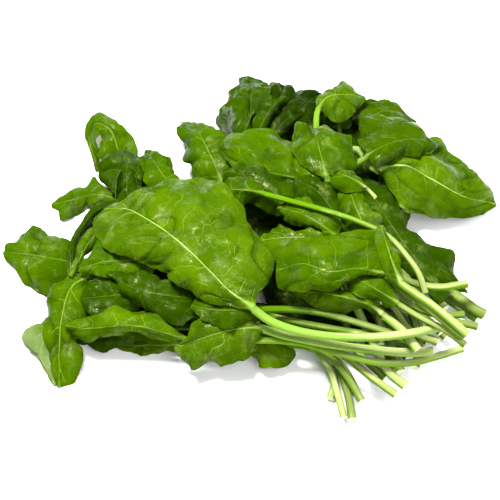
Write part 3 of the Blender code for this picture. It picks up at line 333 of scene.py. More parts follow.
def leaf_body(leaf):
    """The frame's leaf as one closed loft: its points in space, triangles, each point's node, the node links,
    and its measures.

    Stalk rings are ellipses. Blade rings run across the upper face and back across the under face. The
    points of both faces at one place of the blade share a node, and so do those of one stalk ring.
    """
    sheet = blade_sheet(leaf, np.linspace(0.0, 1.0, SHEET_ROWS), np.linspace(-1.0, 1.0, SHEET_COLUMNS))
    blade_length = length_of(sheet[:, SHEET_COLUMNS // 2])
    span = float(np.linalg.norm(np.diff(sheet, axis=1), axis=2).sum(axis=1).max())
    strips = np.array(WIDE_STRIPS if span > WIDE_BLADE else NARROW_STRIPS)
    rings = int(np.clip(round(blade_length / RING_SPACING), FEWEST_RINGS, MOST_RINGS)) + 1
    rows = np.linspace(0.0, 1.0, rings)
    middle = sheet_at(sheet, rows, strips)
    crossways = sheet_at(np.gradient(sheet, axis=1), rows, strips)
    normals = direction_of(np.cross(crossways, sheet_at(np.gradient(sheet, axis=0), rows, strips)))
    thick = leaf["stalk_width"] * STALK_THICKNESS_SHARE - BLADE_THICKNESS
    from_rib = np.linalg.norm(middle - middle[:, len(strips) // 2, None], axis=2)
    run_out = thick * np.exp(-rows / RIB_RUNS_OUT) + RIB_KEPT * (1 - rows)
    bulge = run_out[:, None] * np.exp(-((from_rib / RIB_HALF_WIDTH) ** 2))
    over = BLADE_THICKNESS / 2 + (bulge if leaf["turned"] else RIB_ON_UPPER_FACE * bulge)
    under = BLADE_THICKNESS / 2 + (RIB_ON_UPPER_FACE * bulge if leaf["turned"] else bulge)
    upper = middle + normals * over[..., None]
    lower = middle - normals * under[..., None]

    stalk_knots = stand(leaf["stalk"])
    stalk_length = length_of(stalk_knots)
    count = max(3, int(round(stalk_length / STALK_RING_SPACING)))
    line = smooth_curve(np.vstack([stalk_knots, stand(leaf["rib"][1:2])]), np.linspace(0.0, 1.0, LINE_POINTS))
    whole = stalk_length / length_of(line)
    shares = np.linspace(0.0, whole * (1 - LAST_RING_BACK / count), count)
    measures = {
        "blade_length": blade_length, "span": span, "stalk_length": stalk_length, "whole": whole,
        "rows": rows, "strips": strips, "stalk_shares": shares,
    }
    stalk = stalk_rings(leaf, shares, measures, STALK_SIDES, False)

    columns = len(strips)
    ring_size = 2 * columns
    points = [stalk.reshape(-1, 3)]
    points.append(np.concatenate([upper, lower[:, ::-1]], axis=1).reshape(-1, 3))
    first = count * STALK_SIDES
    faces = []
    for r in range(count - 1):
        for k in range(STALK_SIDES):
            a, b = r * STALK_SIDES + k, r * STALK_SIDES + (k + 1) % STALK_SIDES
            faces += [(a, b, b + STALK_SIDES), (a, b + STALK_SIDES, a + STALK_SIDES)]
    faces += [(0, k + 1, k) for k in range(1, STALK_SIDES - 1)]
    faces += zipped(
        list(range(first - STALK_SIDES, first)),
        np.arange(STALK_SIDES) / STALK_SIDES,
        list(range(first, first + ring_size)),
        ring_shares(columns),
    )
    for r in range(rings - 1):
        here = first + r * ring_size
        there = here + ring_size
        for k in range(columns - 1):
            a, b = here + k, here + k + 1
            c, d = there + k, there + k + 1
            faces += split(a, b, c, d, (r + k) % 2 == 0)
            a, b = here + ring_size - 1 - k, here + ring_size - 2 - k
            c, d = there + ring_size - 1 - k, there + ring_size - 2 - k
            faces += [f[::-1] for f in split(a, b, c, d, (r + k) % 2 == 0)]
        for a, b in ((columns - 1, columns), (ring_size - 1, 0)):
            faces += split(here + a, here + b, there + a, there + b, True)
    last = first + (rings - 1) * ring_size
    for k in range(columns - 1):
        a, b = last + k, last + k + 1
        c, d = last + ring_size - 1 - k, last + ring_size - 2 - k
        faces += [(a, b, d), (a, d, c)]

    stalk_nodes = np.repeat(np.arange(count), STALK_SIDES)
    grid = count + np.arange(rings * columns).reshape(rings, columns)
    blade_nodes = np.concatenate([grid, grid[:, ::-1]], axis=1).reshape(-1)
    links = [(k, k + 1) for k in range(count - 1)]
    links += [(count - 1, int(g)) for g in grid[0]]
    links += [(int(a), int(b)) for a, b in zip(grid[:-1].reshape(-1), grid[1:].reshape(-1))]
    links += [(int(a), int(b)) for a, b in zip(grid[:, :-1].reshape(-1), grid[:, 1:].reshape(-1))]
    nodes = np.concatenate([stalk_nodes, blade_nodes])
    return np.concatenate(points), np.array(faces), nodes, np.array(links), measures


def ring_shares(columns):
    """Where the points of a blade ring lie on the way round: over the top, then back underneath."""
    top = np.linspace(0.0, 0.5, columns)
    return np.concatenate([top, top + 0.5]) * (2 * columns - 1) / (2 * columns)


def split(a, b, c, d, rising):
    """Two triangles for the quad with near edge a-b and far edge c-d."""
    if rising:
        return [(a, b, d), (a, d, c)]
    return [(a, b, c), (b, d, c)]


def zipped(ring, ring_at, other, other_at):
    """Triangles between two rings with unlike numbers of points, going on with the nearer next one."""
    faces = []
    i = j = 0
    n, m = len(ring), len(other)
    while i < n or j < m:
        next_i = ring_at[i + 1] if i + 1 < n else (1.0 if i < n else 9.0)
        next_j = other_at[j + 1] if j + 1 < m else (1.0 if j < m else 9.0)
        if next_i <= next_j:
            faces.append((ring[i % n], ring[(i + 1) % n], other[j % m]))
            i += 1
        else:
            faces.append((ring[i % n], other[(j + 1) % m], other[j % m]))
            j += 1
    return faces


def contact_samples(views, faces):
    """Spots over the triangles, a cell apart or closer: the corners and weights of each, and its cell."""
    corners, weights = [], []
    for face in faces:
        flat = views[face][:, :2]
        low = np.floor(flat.min(axis=0) / CELL)
        high = np.ceil(flat.max(axis=0) / CELL)
        columns = np.arange(low[0], high[0] + 1) * CELL
        rows = np.arange(low[1], high[1] + 1) * CELL
        grid_x, grid_y = np.meshgrid(columns, rows)
        spots = np.stack([grid_x.reshape(-1), grid_y.reshape(-1)], axis=1)
        edge_b, edge_c = flat[1] - flat[0], flat[2] - flat[0]
        area = edge_b[0] * edge_c[1] - edge_b[1] * edge_c[0]
        if abs(area) > 1e-6:
            out = spots - flat[0]
            w_b = (out[:, 0] * edge_c[1] - out[:, 1] * edge_c[0]) / area
            w_c = (edge_b[0] * out[:, 1] - edge_b[1] * out[:, 0]) / area
            inside = (w_b >= 0) & (w_c >= 0) & (w_b + w_c <= 1)
            found = np.stack([1 - w_b - w_c, w_b, w_c], axis=1)[inside]
            corners.append(np.tile(face, (len(found), 1)))
            weights.append(found)
        on_rim = np.array([[1, 0, 0], [0.5, 0.5, 0], [0.5, 0, 0.5], [0, 0.5, 0.5]])
        corners.append(np.tile(face, (len(on_rim), 1)))
        weights.append(on_rim)
    corners, weights = np.concatenate(corners), np.concatenate(weights)
    return corners, weights, cell_of((views[corners, :2] * weights[..., None]).sum(axis=1))


def cell_of(views):
    """The number of the pile's cell that each point lies in."""
    cell_x = np.clip(np.rint(views[:, 0] / CELL).astype(int) + HALF_ACROSS, 0, 2 * HALF_ACROSS)
    cell_y = np.clip(np.rint(views[:, 1] / CELL).astype(int) + HALF_UP, 0, 2 * HALF_UP)
    return cell_x * (2 * HALF_UP + 1) + cell_y


def spread(field):
    """The field, such as the pile's front, with each place raised to its highest neighbour."""
    padded = np.pad(field, 1, mode="edge")
    width, height = field.shape
    return np.max([padded[i : i + width, j : j + height] for i in range(3) for j in range(3)], axis=0)


def come_to_rest(views, faces, nodes, links, pile):
    """Lets a leaf down onto the pile along the lines of sight and returns how far each of its points moves.

    Each round the leaf falls a little, its nodes are drawn towards their neighbours' fall, which is its
    stiffness, and what has gone into the pile or the table is pushed out again.
    """
    corners, weights, cells = contact_samples(views, faces)
    need = np.maximum(spread(pile).reshape(-1)[cells] + CLEARANCE, 0.0)
    depth = (views[corners, 2] * weights).sum(axis=1)
    held = nodes[corners]
    count = nodes.max() + 1
    merged = weights / (weights**2).sum(axis=1, keepdims=True)
    share = np.zeros((count, 1))
    np.add.at(share, links.reshape(-1), 1.0)

    def push_out(lift):
        sunk = need - depth - (lift[held] * weights).sum(axis=1)
        hit = sunk > 0
        push = np.zeros(count)
        np.maximum.at(push, held[hit].reshape(-1), (sunk[hit, None] * merged[hit]).reshape(-1))
        return push, (sunk.max() if len(sunk) else 0.0)

    lift = np.full(count, float((need - depth).max()))
    for drop in range(DROPS):
        lift = lift - FALL * (1 if drop < DROPS * FAST_DROPS else SLOW_SHARE)
        for _ in range(BEND_ROUNDS):
            mean = np.zeros(count)
            np.add.at(mean, links[:, 0], lift[links[:, 1]])
            np.add.at(mean, links[:, 1], lift[links[:, 0]])
            lift = lift + STIFFNESS * (mean / share[:, 0] - lift)
        for _ in range(PUSH_ROUNDS):
            push, _ = push_out(lift)
            lift = lift + push
    for _ in range(LAST_ROUNDS):
        push, worst = push_out(lift)
        if worst < MOST_SUNK:
            break
        lift = lift + push * PUSHED_PAST
    surface = depth + (lift[held] * weights).sum(axis=1)
    np.maximum.at(pile.reshape(-1), cells, surface)
    return lift[nodes]


def leaf(name, stalk, rib, left, right, stalk_width=5.0, turned=False, puff=1.5, wave=1.5, waves=3.0,
         **crests):
    """One leaf of the drawing. Its points are (across, up, height above the table) in millimetres.

    The stalk runs from its cut end to the blade, the rib from there to the tip, and left and right are the
    margins as they lie to someone looking from base to tip. A turned leaf shows its under face.
    """
    return {
        "name": name, "stalk": list(stalk) + [rib[0]], "rib": rib, "left": left, "right": right,
        "stalk_width": stalk_width, "turned": turned, "puff": puff, "wave": wave, "waves": waves, **crests,
    }


# Every leaf, in the order in which they were laid down.
DRAWING = (
    leaf("left_floor",
         stalk=[(96, -81, 3), (88, -68, 3), (66, -52, 3), (34, -42, 3), (6, -36, 3)],
         rib=[(-18, -32, 4), (-44, -30, 5), (-72, -29, 5), (-100, -26, 3)],
         left=[(-24, -46, 3), (-48, -52, 3), (-74, -50, 3), (-92, -38, 3)],
         right=[(-24, -18, 4), (-46, -10, 5), (-72, -8, 5), (-92, -12, 4)]),
    leaf("left_floor_low",
         stalk=[(70, -94, 3), (62, -78, 3), (42, -62, 3), (20, -54, 3)],
         rib=[(-2, -50, 4), (-26, -50, 5), (-50, -52, 5), (-72, -54, 3)],
         left=[(-8, -58, 3), (-28, -63, 3), (-50, -62, 3)],
         right=[(-8, -40, 4), (-28, -36, 4), (-50, -38, 4)],
         stalk_width=4.5),
    leaf("under_front",
         stalk=[(103, -70, 3), (92, -58, 3), (66, -40, 3), (32, -20, 4)],
         rib=[(4, -10, 5), (-22, -2, 8), (-48, 6, 8), (-74, 10, 3)],
         left=[(-4, -22, 4), (-26, -20, 5), (-48, -12, 5), (-66, -2, 3)],
         right=[(2, 4, 5), (-18, 16, 6), (-44, 24, 6), (-66, 22, 4)]),
    leaf("under_front_back",
         stalk=[(116, -60, 3), (104, -48, 3), (76, -26, 3), (40, -4, 4), (10, 8, 4)],
         rib=[(-12, 16, 5), (-34, 24, 8), (-56, 30, 8), (-78, 32, 3)],
         left=[(-18, 6, 4), (-38, 10, 5), (-58, 16, 5), (-72, 22, 3)],
         right=[(-14, 28, 4), (-32, 38, 5), (-54, 42, 5), (-72, 40, 4)]),
    leaf("upper_left_floor",
         stalk=[(40, 6, 4), (4, 18, 4), (-24, 26, 5)],
         rib=[(-44, 32, 6), (-60, 40, 8), (-76, 46, 8), (-90, 46, 4)],
         left=[(-50, 24, 4), (-66, 28, 5), (-82, 34, 4)],
         right=[(-46, 42, 5), (-60, 53, 5), (-74, 56, 5), (-86, 54, 4)],
         stalk_width=4.0),
    leaf("centre_floor",
         stalk=[(128, -57, 3), (116, -46, 3), (94, -26, 3), (74, -8, 4)],
         rib=[(52, 2, 6), (30, 12, 9), (6, 22, 9), (-16, 34, 5)],
         left=[(46, -12, 4), (26, -10, 6), (4, 0, 6), (-12, 16, 4)],
         right=[(54, 18, 5), (36, 30, 6), (12, 40, 6), (-6, 44, 5)]),
    leaf("centre_floor_low",
         stalk=[(122, -60, 3), (110, -54, 3), (90, -42, 3), (70, -32, 4)],
         rib=[(50, -26, 6), (34, -20, 9), (18, -12, 9), (2, -4, 5)],
         left=[(44, -39, 4), (29, -39, 5), (15, -38, 5), (8, -25, 4)],
         right=[(50, -12, 5), (36, -4, 6), (20, 4, 6)]),
    leaf("right_floor",
         stalk=[(148, -45, 3), (136, -37, 3), (122, -27, 3)],
         rib=[(104, -18, 5), (94, -2, 8), (84, 14, 9), (76, 34, 5)],
         left=[(92, -22, 4), (80, -8, 5), (70, 8, 5), (68, 24, 4)],
         right=[(110, -10, 4), (104, 2, 5), (96, 16, 5), (88, 30, 4)]),
    leaf("back_floor",
         stalk=[(113, -57, 3), (106, -40, 3), (90, -10, 4), (66, 20, 4), (44, 42, 5)],
         rib=[(30, 56, 6), (24, 68, 9), (22, 82, 10), (22, 96, 5)],
         left=[(16, 58, 5), (4, 68, 6), (2, 84, 6), (10, 96, 5)],
         right=[(44, 64, 5), (48, 76, 6), (46, 90, 6), (36, 98, 5)]),
    leaf("top_right_floor",
         stalk=[(127, -38, 3), (114, -22, 4), (100, 2, 4), (88, 24, 5)],
         rib=[(80, 38, 6), (73, 56, 9), (65, 78, 10), (57, 97, 5)],
         left=[(66, 44, 5), (52, 60, 6), (43, 80, 6), (46, 96, 5)],
         right=[(91, 44, 5), (91, 56, 6), (84, 78, 5), (71, 97.5, 5)]),
    leaf("under_middle",
         stalk=[(106, -62, 3), (96, -52, 3)],
         rib=[(84, -46, 3), (66, -42, 4), (46, -42, 4), (24, -40, 3)],
         left=[(76, -52, 3), (58, -53, 3), (40, -52, 3), (30, -46, 3)],
         right=[(80, -36, 4), (64, -30, 5), (44, -30, 5), (30, -34, 4)]),
    leaf("far_left",
         stalk=[(-20, -48, 3), (-52, -40, 3), (-84, -24, 4)],
         rib=[(-108, -10, 6), (-126, -6, 14), (-143, -3, 13), (-160, -1, 5)],
         left=[(-112, -22, 3), (-124, -29, 2), (-136, -29, 2), (-147, -22, 2), (-154, -11, 6),
                   (-159, -6, 6)],
         right=[(-112, 2, 6), (-121, 4.5, 8), (-132, 11, 9), (-140, 16.5, 9), (-147, 13, 9),
                    (-151, 5, 8), (-159, 3, 6)],
         puff=2.0, wave=1.2),
    leaf("upper_left_small",
         stalk=[(-5, -20, 5), (-40, 4, 6), (-66, 20, 8)],
         rib=[(-84, 32, 10), (-100, 36, 13), (-114, 33, 11), (-129, 29, 5)],
         left=[(-92, 30, 8), (-98, 30, 8), (-104, 26, 7), (-106.5, 30, 7), (-109.5, 24, 5), (-115, 22, 5),
                   (-121.5, 19.5, 3), (-125, 26, 4)],
         right=[(-88, 38, 9), (-97, 41.5, 10), (-101.5, 47, 10), (-103.5, 41.5, 10), (-108, 40, 10),
                    (-114, 41.5, 8), (-122, 35.5, 6)],
         stalk_width=3.5, wave=0.5),
    leaf("tall_hook",
         stalk=[(-20, 0, 6), (-50, 20, 8), (-72, 36, 10)],
         rib=[(-82, 50, 12), (-86, 66, 18), (-92, 79, 22), (-100, 82, 20), (-103, 71, 14), (-99, 51, 6)],
         left=[(-92, 55, 10), (-99, 62, 14), (-96, 71, 19), (-97.5, 75.5, 20), (-99.5, 72, 17),
                   (-98, 64, 11)],
         right=[(-74, 56, 12), (-74, 66, 16), (-81, 79, 20), (-91, 86, 20), (-101, 90, 18),
                    (-105.5, 84, 16), (-105, 68, 11)],
         stalk_width=4.0, puff=1.0, wave=0.5),
    leaf("left_dark_arch",
         stalk=[(-20, 8, 6), (-45, 22, 8), (-62, 32, 10)],
         rib=[(-72, 40, 12), (-80, 49, 18), (-88, 52, 16), (-98.5, 49, 10)],
         left=[(-78, 32, 8), (-86, 36, 10), (-91, 41, 10), (-97, 44, 9)],
         right=[(-66, 50, 12), (-69, 61, 14), (-78, 64.5, 18), (-89, 62, 16), (-96, 56, 12)],
         stalk_width=4.0, puff=2.0, wave=1.0),
    leaf("small_cup",
         stalk=[(-40, -4, 8), (-60, 8, 9), (-74, 18, 10)],
         rib=[(-80, 28, 12), (-80, 36, 12), (-80, 45, 14), (-80, 55, 18)],
         left=[(-84, 33, 18), (-87, 41, 20), (-86.5, 47, 22), (-84, 52, 20)],
         right=[(-75, 33, 18), (-73, 39, 20), (-74, 46, 22), (-77, 53, 20)],
         stalk_width=3.5, puff=-1.0, wave=0.4),
    leaf("left_round",
         stalk=[(0, -10, 8), (-20, 10, 10), (-36, 26, 12)],
         rib=[(-47, 36, 14), (-54, 45, 20), (-61, 55, 20), (-67, 65, 12)],
         left=[(-58, 34, 12), (-66, 41, 16), (-70.5, 51, 18), (-71.5, 58, 16)],
         right=[(-42, 44, 14), (-49, 49, 16), (-51, 57, 16), (-56, 62.5, 14), (-62, 64, 12)],
         stalk_width=4.0, puff=2.0, wave=1.0),
    leaf("back_fold",
         stalk=[(107, -76.5, 3), (110, -65, 4), (108, -50, 5), (92, -18, 6), (66, 24, 8), (34, 54, 12)],
         rib=[(10, 74, 16), (14, 86, 24), (19, 97, 26), (22, 107, 18)],
         left=[(4, 80, 16), (8, 93, 20), (13, 101, 22), (16, 108.5, 18)],
         right=[(19, 82, 18), (27, 93, 20), (29.5, 103.5, 18)],
         stalk_width=5.0, puff=3.0),
    leaf("back_strip",
         stalk=[(96, -81, 3), (94, -66, 4), (84, -36, 6), (62, 4, 8), (38, 44, 12)],
         rib=[(22, 72, 16), (29, 86, 24), (38, 96, 24), (47, 101.5, 16)],
         left=[(17, 80, 16), (23, 93, 20), (29, 102, 20), (40, 102, 16)],
         right=[(30, 78, 18), (38, 88, 22), (46, 95, 18)],
         stalk_width=4.5, puff=3.0, wave=1.0),
    leaf("back_roll",
         stalk=[(98, -79, 3), (95, -70, 4), (84, -46, 5), (60, -8, 6), (36, 30, 8), (14, 58, 12)],
         rib=[(4, 70, 18), (1, 84, 28), (0, 98, 30), (-2, 113, 20)],
         left=[(-13, 71, 14), (-20, 78, 14), (-17.5, 90, 16), (-15, 102, 16), (-10, 107.5, 16),
                   (-8, 112, 16)],
         left_crest=[(-8, 78, 30), (-9, 92, 33), (-5, 104, 28)],
         right=[(10, 78, 18), (13, 90, 24), (12.5, 102, 22), (7, 110, 18)],
         stalk_width=5.0, puff=1.0, wave=1.0),
    leaf("back_slim",
         stalk=[(108, -64, 5), (98, -44, 6), (74, -8, 8), (46, 28, 10), (16, 56, 14)],
         rib=[(4, 70, 20), (7, 80, 26), (13, 91, 30), (22, 100, 26)],
         left=[(0, 76, 20), (4, 86, 24), (10, 95, 26)],
         right=[(10, 76, 20), (14, 84, 24), (20, 93, 24)],
         stalk_width=4.0, wave=0.6),
    leaf("back_dark",
         stalk=[(124, -54, 6), (104, -36, 8), (80, -8, 9), (52, 26, 10), (26, 56, 14)],
         rib=[(14, 70, 22), (18, 78, 26), (24, 85, 28), (33, 88.5, 26)],
         left=[(12, 77, 22), (17, 86, 26), (26, 91, 26)],
         right=[(20, 73, 22), (27, 79, 24), (32, 84, 24)],
         stalk_width=4.0, wave=0.4, puff=2.5),
    leaf("back_edge",
         stalk=[(85, -61, 4), (84, -50, 6), (80, -34, 8), (62, 8, 10), (42, 46, 14)],
         rib=[(32, 70, 22), (38, 80, 26), (43, 87, 26), (47, 94, 22)],
         left=[(29, 77, 22), (34, 88, 24), (41, 95, 22)],
         right=[(37, 73, 22), (43, 80, 24), (47, 87, 22)],
         stalk_width=4.0, wave=0.6, puff=2.5),
    leaf("back_wedge",
         stalk=[(40, 20, 12), (18, 44, 16), (2, 60, 20)],
         rib=[(-5, 70, 26), (-4, 76, 30), (-1, 83, 32), (2, 91, 28)],
         left=[(-12, 72, 24), (-9, 79, 28), (-3, 87, 28)],
         right=[(1, 72, 26), (1, 78, 28), (0.5, 85, 28)],
         stalk_width=3.5, wave=0.3, puff=0.5),
    leaf("upper_right",
         stalk=[(148, -50, 4), (130, -45, 5), (110, -30, 6), (96, 0, 8), (88, 36, 12), (82, 62, 16)],
         rib=[(77, 78, 20), (82, 88, 26), (94, 90, 24), (108, 83, 14)],
         left=[(66, 84, 20), (65, 93, 22), (74, 98.5, 22), (84, 98, 22), (94, 94, 18), (103, 88, 14)],
         right=[(84, 74, 22), (92, 76, 24), (101, 77, 18), (107, 79, 14)],
         stalk_width=4.5),
    leaf("top_small",
         stalk=[(72, 30, 12), (66, 52, 16), (60, 68, 20)],
         rib=[(58, 78, 24), (58, 84, 28), (57, 90, 30), (56, 96, 28)],
         left=[(52, 80, 24), (50, 85, 26), (52, 92, 28)],
         right=[(64, 79, 24), (66, 83, 26), (62, 90, 28)],
         stalk_width=3.5, wave=0.4),
    leaf("top_hood",
         stalk=[(122, -60, 5), (108, -55, 6), (92, -36, 8), (74, 0, 10), (56, 36, 14), (43, 64, 20),
                    (43, 80, 28)],
         rib=[(44.5, 92, 30), (50, 99, 32), (60, 101, 30), (75, 99, 22)],
         left=[(44, 99, 26), (50, 104, 26), (60, 109, 24), (66, 103, 22)],
         right=[(49, 88, 28), (55, 83, 26), (62, 84, 24), (69, 91, 22)],
         stalk_width=4.0, wave=1.0),
    leaf("right_dark",
         stalk=[(152, -42, 4), (146, -38, 7), (140, -33, 10)],
         rib=[(131, -26, 13), (118, -15, 20), (105, -2, 26), (92, 16, 30), (74, 46, 24)],
         left=[(125, -34, 10), (114, -27, 14), (103, -15, 16), (94, -8, 18), (84, 4, 20), (74, 18, 22),
                   (66, 34, 22)],
         right=[(141.5, -28, 12), (137, -19, 14), (133, -10, 14), (130.5, -3, 14), (120, 1, 16),
                    (113, 8, 16), (105, 12, 18), (101.5, 23, 18), (94, 40, 20)],
         stalk_width=6.5, puff=2.5),
    leaf("right_large",
         stalk=[(34, 36, 16), (50, 56, 22), (68, 66, 26)],
         rib=[(84, 53, 32), (100, 55, 36), (118, 46, 36), (138, 35, 28), (160, 30, 14)],
         left=[(84, 62, 30), (94, 68, 28), (108, 70, 26), (120, 69.5, 24), (129, 65, 22), (138, 58, 20),
                   (147, 49, 16), (155, 40, 14)],
         right=[(84, 50, 28), (90, 42, 24), (97, 30, 18), (101, 24, 16), (114, 23, 18), (126, 20, 18),
                    (142, 21, 16), (155, 25, 12)],
         stalk_width=5.5, puff=3.0, wave=1.2, waves=2.5),
    leaf("right_upper",
         stalk=[(30, 30, 18), (48, 46, 24), (64, 54, 28)],
         rib=[(76, 61, 34), (88, 68, 40), (104, 72, 38), (123, 69, 26)],
         left=[(71, 70, 32), (69, 79, 30), (71, 87, 30), (82, 88, 32), (96, 85, 30), (105.5, 78.5, 26),
                   (113.5, 72, 26)],
         right=[(82, 54, 34), (90, 57, 34), (99, 61, 32), (110, 60.5, 30), (118, 64, 28)],
         stalk_width=5.0, puff=2.5, wave=1.5),
    leaf("back_left",
         stalk=[(60, 8, 14), (30, 22, 18), (0, 34, 24)],
         rib=[(-18, 44, 30), (-24, 58, 36), (-30, 70, 34), (-37, 83, 24)],
         left=[(-32, 44, 26), (-37.5, 49, 26), (-38, 54, 27), (-43, 56.5, 25), (-45, 61, 25),
                   (-43, 68, 26), (-46.5, 76, 22), (-45.5, 84, 20)],
         right=[(-9, 54, 32), (-11, 66, 32), (-14.5, 75, 30), (-24, 80.5, 28), (-31, 79.5, 26)],
         stalk_width=4.5, puff=2.5, wave=1.4),
    leaf("back_long",
         stalk=[(86, -34, 8), (76, -10, 12), (66, 12, 16), (59, 34, 24)],
         rib=[(52, 48, 34), (38, 46, 40), (22, 48.5, 42), (6, 52, 40), (-16, 60, 34)],
         left=[(46, 44, 32), (32, 43, 34), (16, 46, 34), (0, 49, 34), (-12, 54, 32)],
         right=[(48, 60, 38), (40, 70, 38), (27, 70, 36), (19, 76, 36), (12, 78, 36), (2, 76.5, 34),
                    (-8, 75.5, 32), (-16, 73.5, 32)],
         stalk_width=5.0, puff=3.5, wave=1.5),
    leaf("back_lobe",
         stalk=[(90, -28, 10), (80, -8, 14), (68, 12, 20), (57, 32, 30)],
         rib=[(50, 48, 40), (47, 58, 44), (44, 69, 44), (42, 79, 36)],
         left=[(42, 49, 36), (32, 56, 38), (26, 66, 38), (27, 75.5, 34), (33, 82, 32), (38.5, 78, 34)],
         right=[(58, 46, 36), (66, 53, 36), (71, 60, 36), (68, 66, 38), (65, 72, 36), (56, 78, 36),
                    (48, 79.5, 34)],
         stalk_width=5.0, puff=3.0, wave=1.8),
    leaf("centre_left",
         stalk=[(88, -83.5, 3), (80, -76, 4), (70, -66, 6), (60, -40, 8), (52, -10, 12), (40, 12, 16)],
         rib=[(30, 26, 20), (18, 36, 26), (4, 45, 28), (-14, 52, 26)],
         left=[(18, 22, 18), (2, 30, 20), (-12, 38, 20), (-18, 46, 22)],
         right=[(34, 38, 22), (24, 47, 24), (8, 52, 26), (-6, 55, 26)],
         stalk_width=4.5),
    leaf("centre_back",
         stalk=[(139, -42, 6), (122, -42, 8), (102, -34, 10), (84, -16, 14)],
         rib=[(64, 8, 20), (55, 24, 28), (44, 38, 32), (29, 46, 30)],
         left=[(50, 12, 18), (36, 26, 22), (28, 38, 24)],
         right=[(66, 22, 22), (60, 34, 26), (50, 44, 30), (38, 48, 30)],
         stalk_width=4.4, wave=2.0),
    leaf("right_wave",
         stalk=[(141, -22, 8), (122, -24, 10), (104, -20, 12), (90, -10, 16)],
         rib=[(80, 2, 22), (74, 16, 32), (68, 30, 34), (63, 45, 28)],
         left=[(68, 6, 20), (60, 18, 24), (58, 32, 26), (60, 42, 26)],
         right=[(86, 10, 24), (83, 20, 28), (76, 30, 34), (70, 40, 30)],
         stalk_width=4.8, wave=2.5, waves=2.5),
    leaf("little_fold",
         stalk=[(81.5, 34, 27), (79, 37, 28)],
         rib=[(75.5, 40.5, 30), (70, 44.5, 34), (64, 47.5, 36), (57, 50, 34)],
         left=[(72, 38, 28), (64, 36.5, 28), (56, 39, 30), (52.5, 45, 32)],
         right=[(73, 46, 32), (67, 51, 34), (61, 53, 34)],
         stalk_width=2.6, puff=0.6, wave=0.3),
    leaf("centre_fan",
         stalk=[(137, -50, 8), (120, -40, 14), (100, -24, 18), (78, -6, 22)],
         rib=[(56, 9, 28), (44, 18, 32), (32, 24, 32), (18, 28, 26)],
         left=[(48, 9, 26), (40, 14, 26), (31, 16, 24), (22, 21, 22)],
         right=[(60, 16, 28), (54, 25, 30), (40, 31, 30), (26, 32, 26)],
         stalk_width=4.2, wave=1.5),
    leaf("long_stalk",
         stalk=[(114, -28, 26), (110, -16, 32), (102, -4, 36), (90, 9, 40), (70, 19, 42), (46, 27, 40),
                    (24, 33, 38)],
         rib=[(9, 37, 36), (-2, 39, 38), (-13, 39, 34), (-25, 36, 28)],
         left=[(5, 34, 32), (0, 31, 30), (-7, 27, 28), (-18, 28, 26)],
         right=[(9, 41, 34), (1, 44, 34), (-8, 48, 32), (-20, 44, 28)],
         stalk_width=3.7),
    leaf("centre_pale",
         stalk=[(101, -88.5, 4), (91, -80, 6), (81, -62, 10), (68, -34, 16), (56, -8, 22)],
         rib=[(50, 4, 26), (36, 8, 30), (22, 8, 28), (6, 6, 22)],
         left=[(44, -6, 22), (32, -8, 22), (20, -8, 20), (10, -2, 18)],
         right=[(44, 12, 26), (32, 13, 28), (20, 16, 26), (12, 14, 22)],
         stalk_width=5.2),
    leaf("tip_beneath",
         stalk=[(52, -97, 3), (55, -84, 4), (48, -68, 6), (20, -60, 6)],
         rib=[(-8, -60, 8), (-34, -61, 12), (-60, -62, 10), (-87, -62, 6)],
         left=[(-14, -66, 6), (-36, -67, 6), (-54, -66.5, 5), (-68, -68.5, 4), (-80, -66.5, 4)],
         right=[(-14, -54, 8), (-38, -53, 10), (-60, -54, 10), (-78, -56, 8)],
         stalk_width=4.5),
    leaf("dark_beneath",
         stalk=[(66.5, -110, 3), (64.5, -98, 4), (60, -82, 5), (52, -67, 6), (20, -54, 8), (-24, -50, 8)],
         rib=[(-56, -50, 10), (-76, -54, 14), (-94, -57, 12), (-113, -59, 6)],
         left=[(-64, -58, 8), (-80, -61, 8), (-92, -66, 6), (-104, -63, 6)],
         right=[(-64, -42, 10), (-80, -44, 12), (-96, -48, 10), (-110, -53, 6)],
         stalk_width=4.5),
    leaf("lobed",
         stalk=[(61, -109, 3), (57, -94, 4), (51, -76, 5), (42, -64, 7)],
         rib=[(26, -59, 10), (6, -60, 14), (-12, -62, 12), (-32, -66, 8)],
         left=[(29, -66, 7), (24, -75, 5), (14, -76, 5), (4, -69, 5), (-8, -70, 5), (-22, -70, 5)],
         right=[(22, -54, 10), (8, -46, 12), (-8, -50, 12), (-24, -56, 10)],
         stalk_width=4.0),
    leaf("droop_back",
         stalk=[(-80, -30, 4), (-98, -32, 5)],
         rib=[(-112, -38, 8), (-128, -50, 14), (-136, -66, 10), (-126, -88, 2)],
         left=[(-116, -46, 8), (-122, -60, 8), (-122, -74, 6)],
         right=[(-122, -42, 10), (-135, -47.5, 12), (-147, -52, 10), (-146.5, -61, 6), (-137, -70.5, 4),
                    (-130.5, -83, 2)],
         turned=True, stalk_width=4.0, puff=1.0, wave=0.8),
    leaf("droop",
         stalk=[(-36, -36, 6), (-60, -30, 8), (-84, -22, 12)],
         rib=[(-104, -17, 20), (-116, -24, 26), (-122, -42, 22), (-124, -64, 12), (-124, -89, 1)],
         left=[(-102, -26, 16), (-99, -40, 14), (-108, -48, 14), (-112, -58, 12), (-108.5, -66, 8),
                   (-111, -77, 3), (-115.5, -86.5, 1)],
         right=[(-110, -15, 20), (-122, -19, 24), (-132, -30, 22), (-132.5, -43, 18), (-132, -60, 12),
                    (-130, -74, 6), (-127, -84, 2)],
         stalk_width=5.0, puff=2.5),
    leaf("edge_curve",
         stalk=[(-30, 0, 12), (-56, 14, 14), (-74, 24, 16)],
         rib=[(-86, 30, 20), (-99, 26, 24), (-110, 13, 22), (-116, -2, 16), (-117, -16, 10)],
         left=[(-93, 26, 16), (-102, 16, 14), (-110, 4, 12), (-114, -8, 10)],
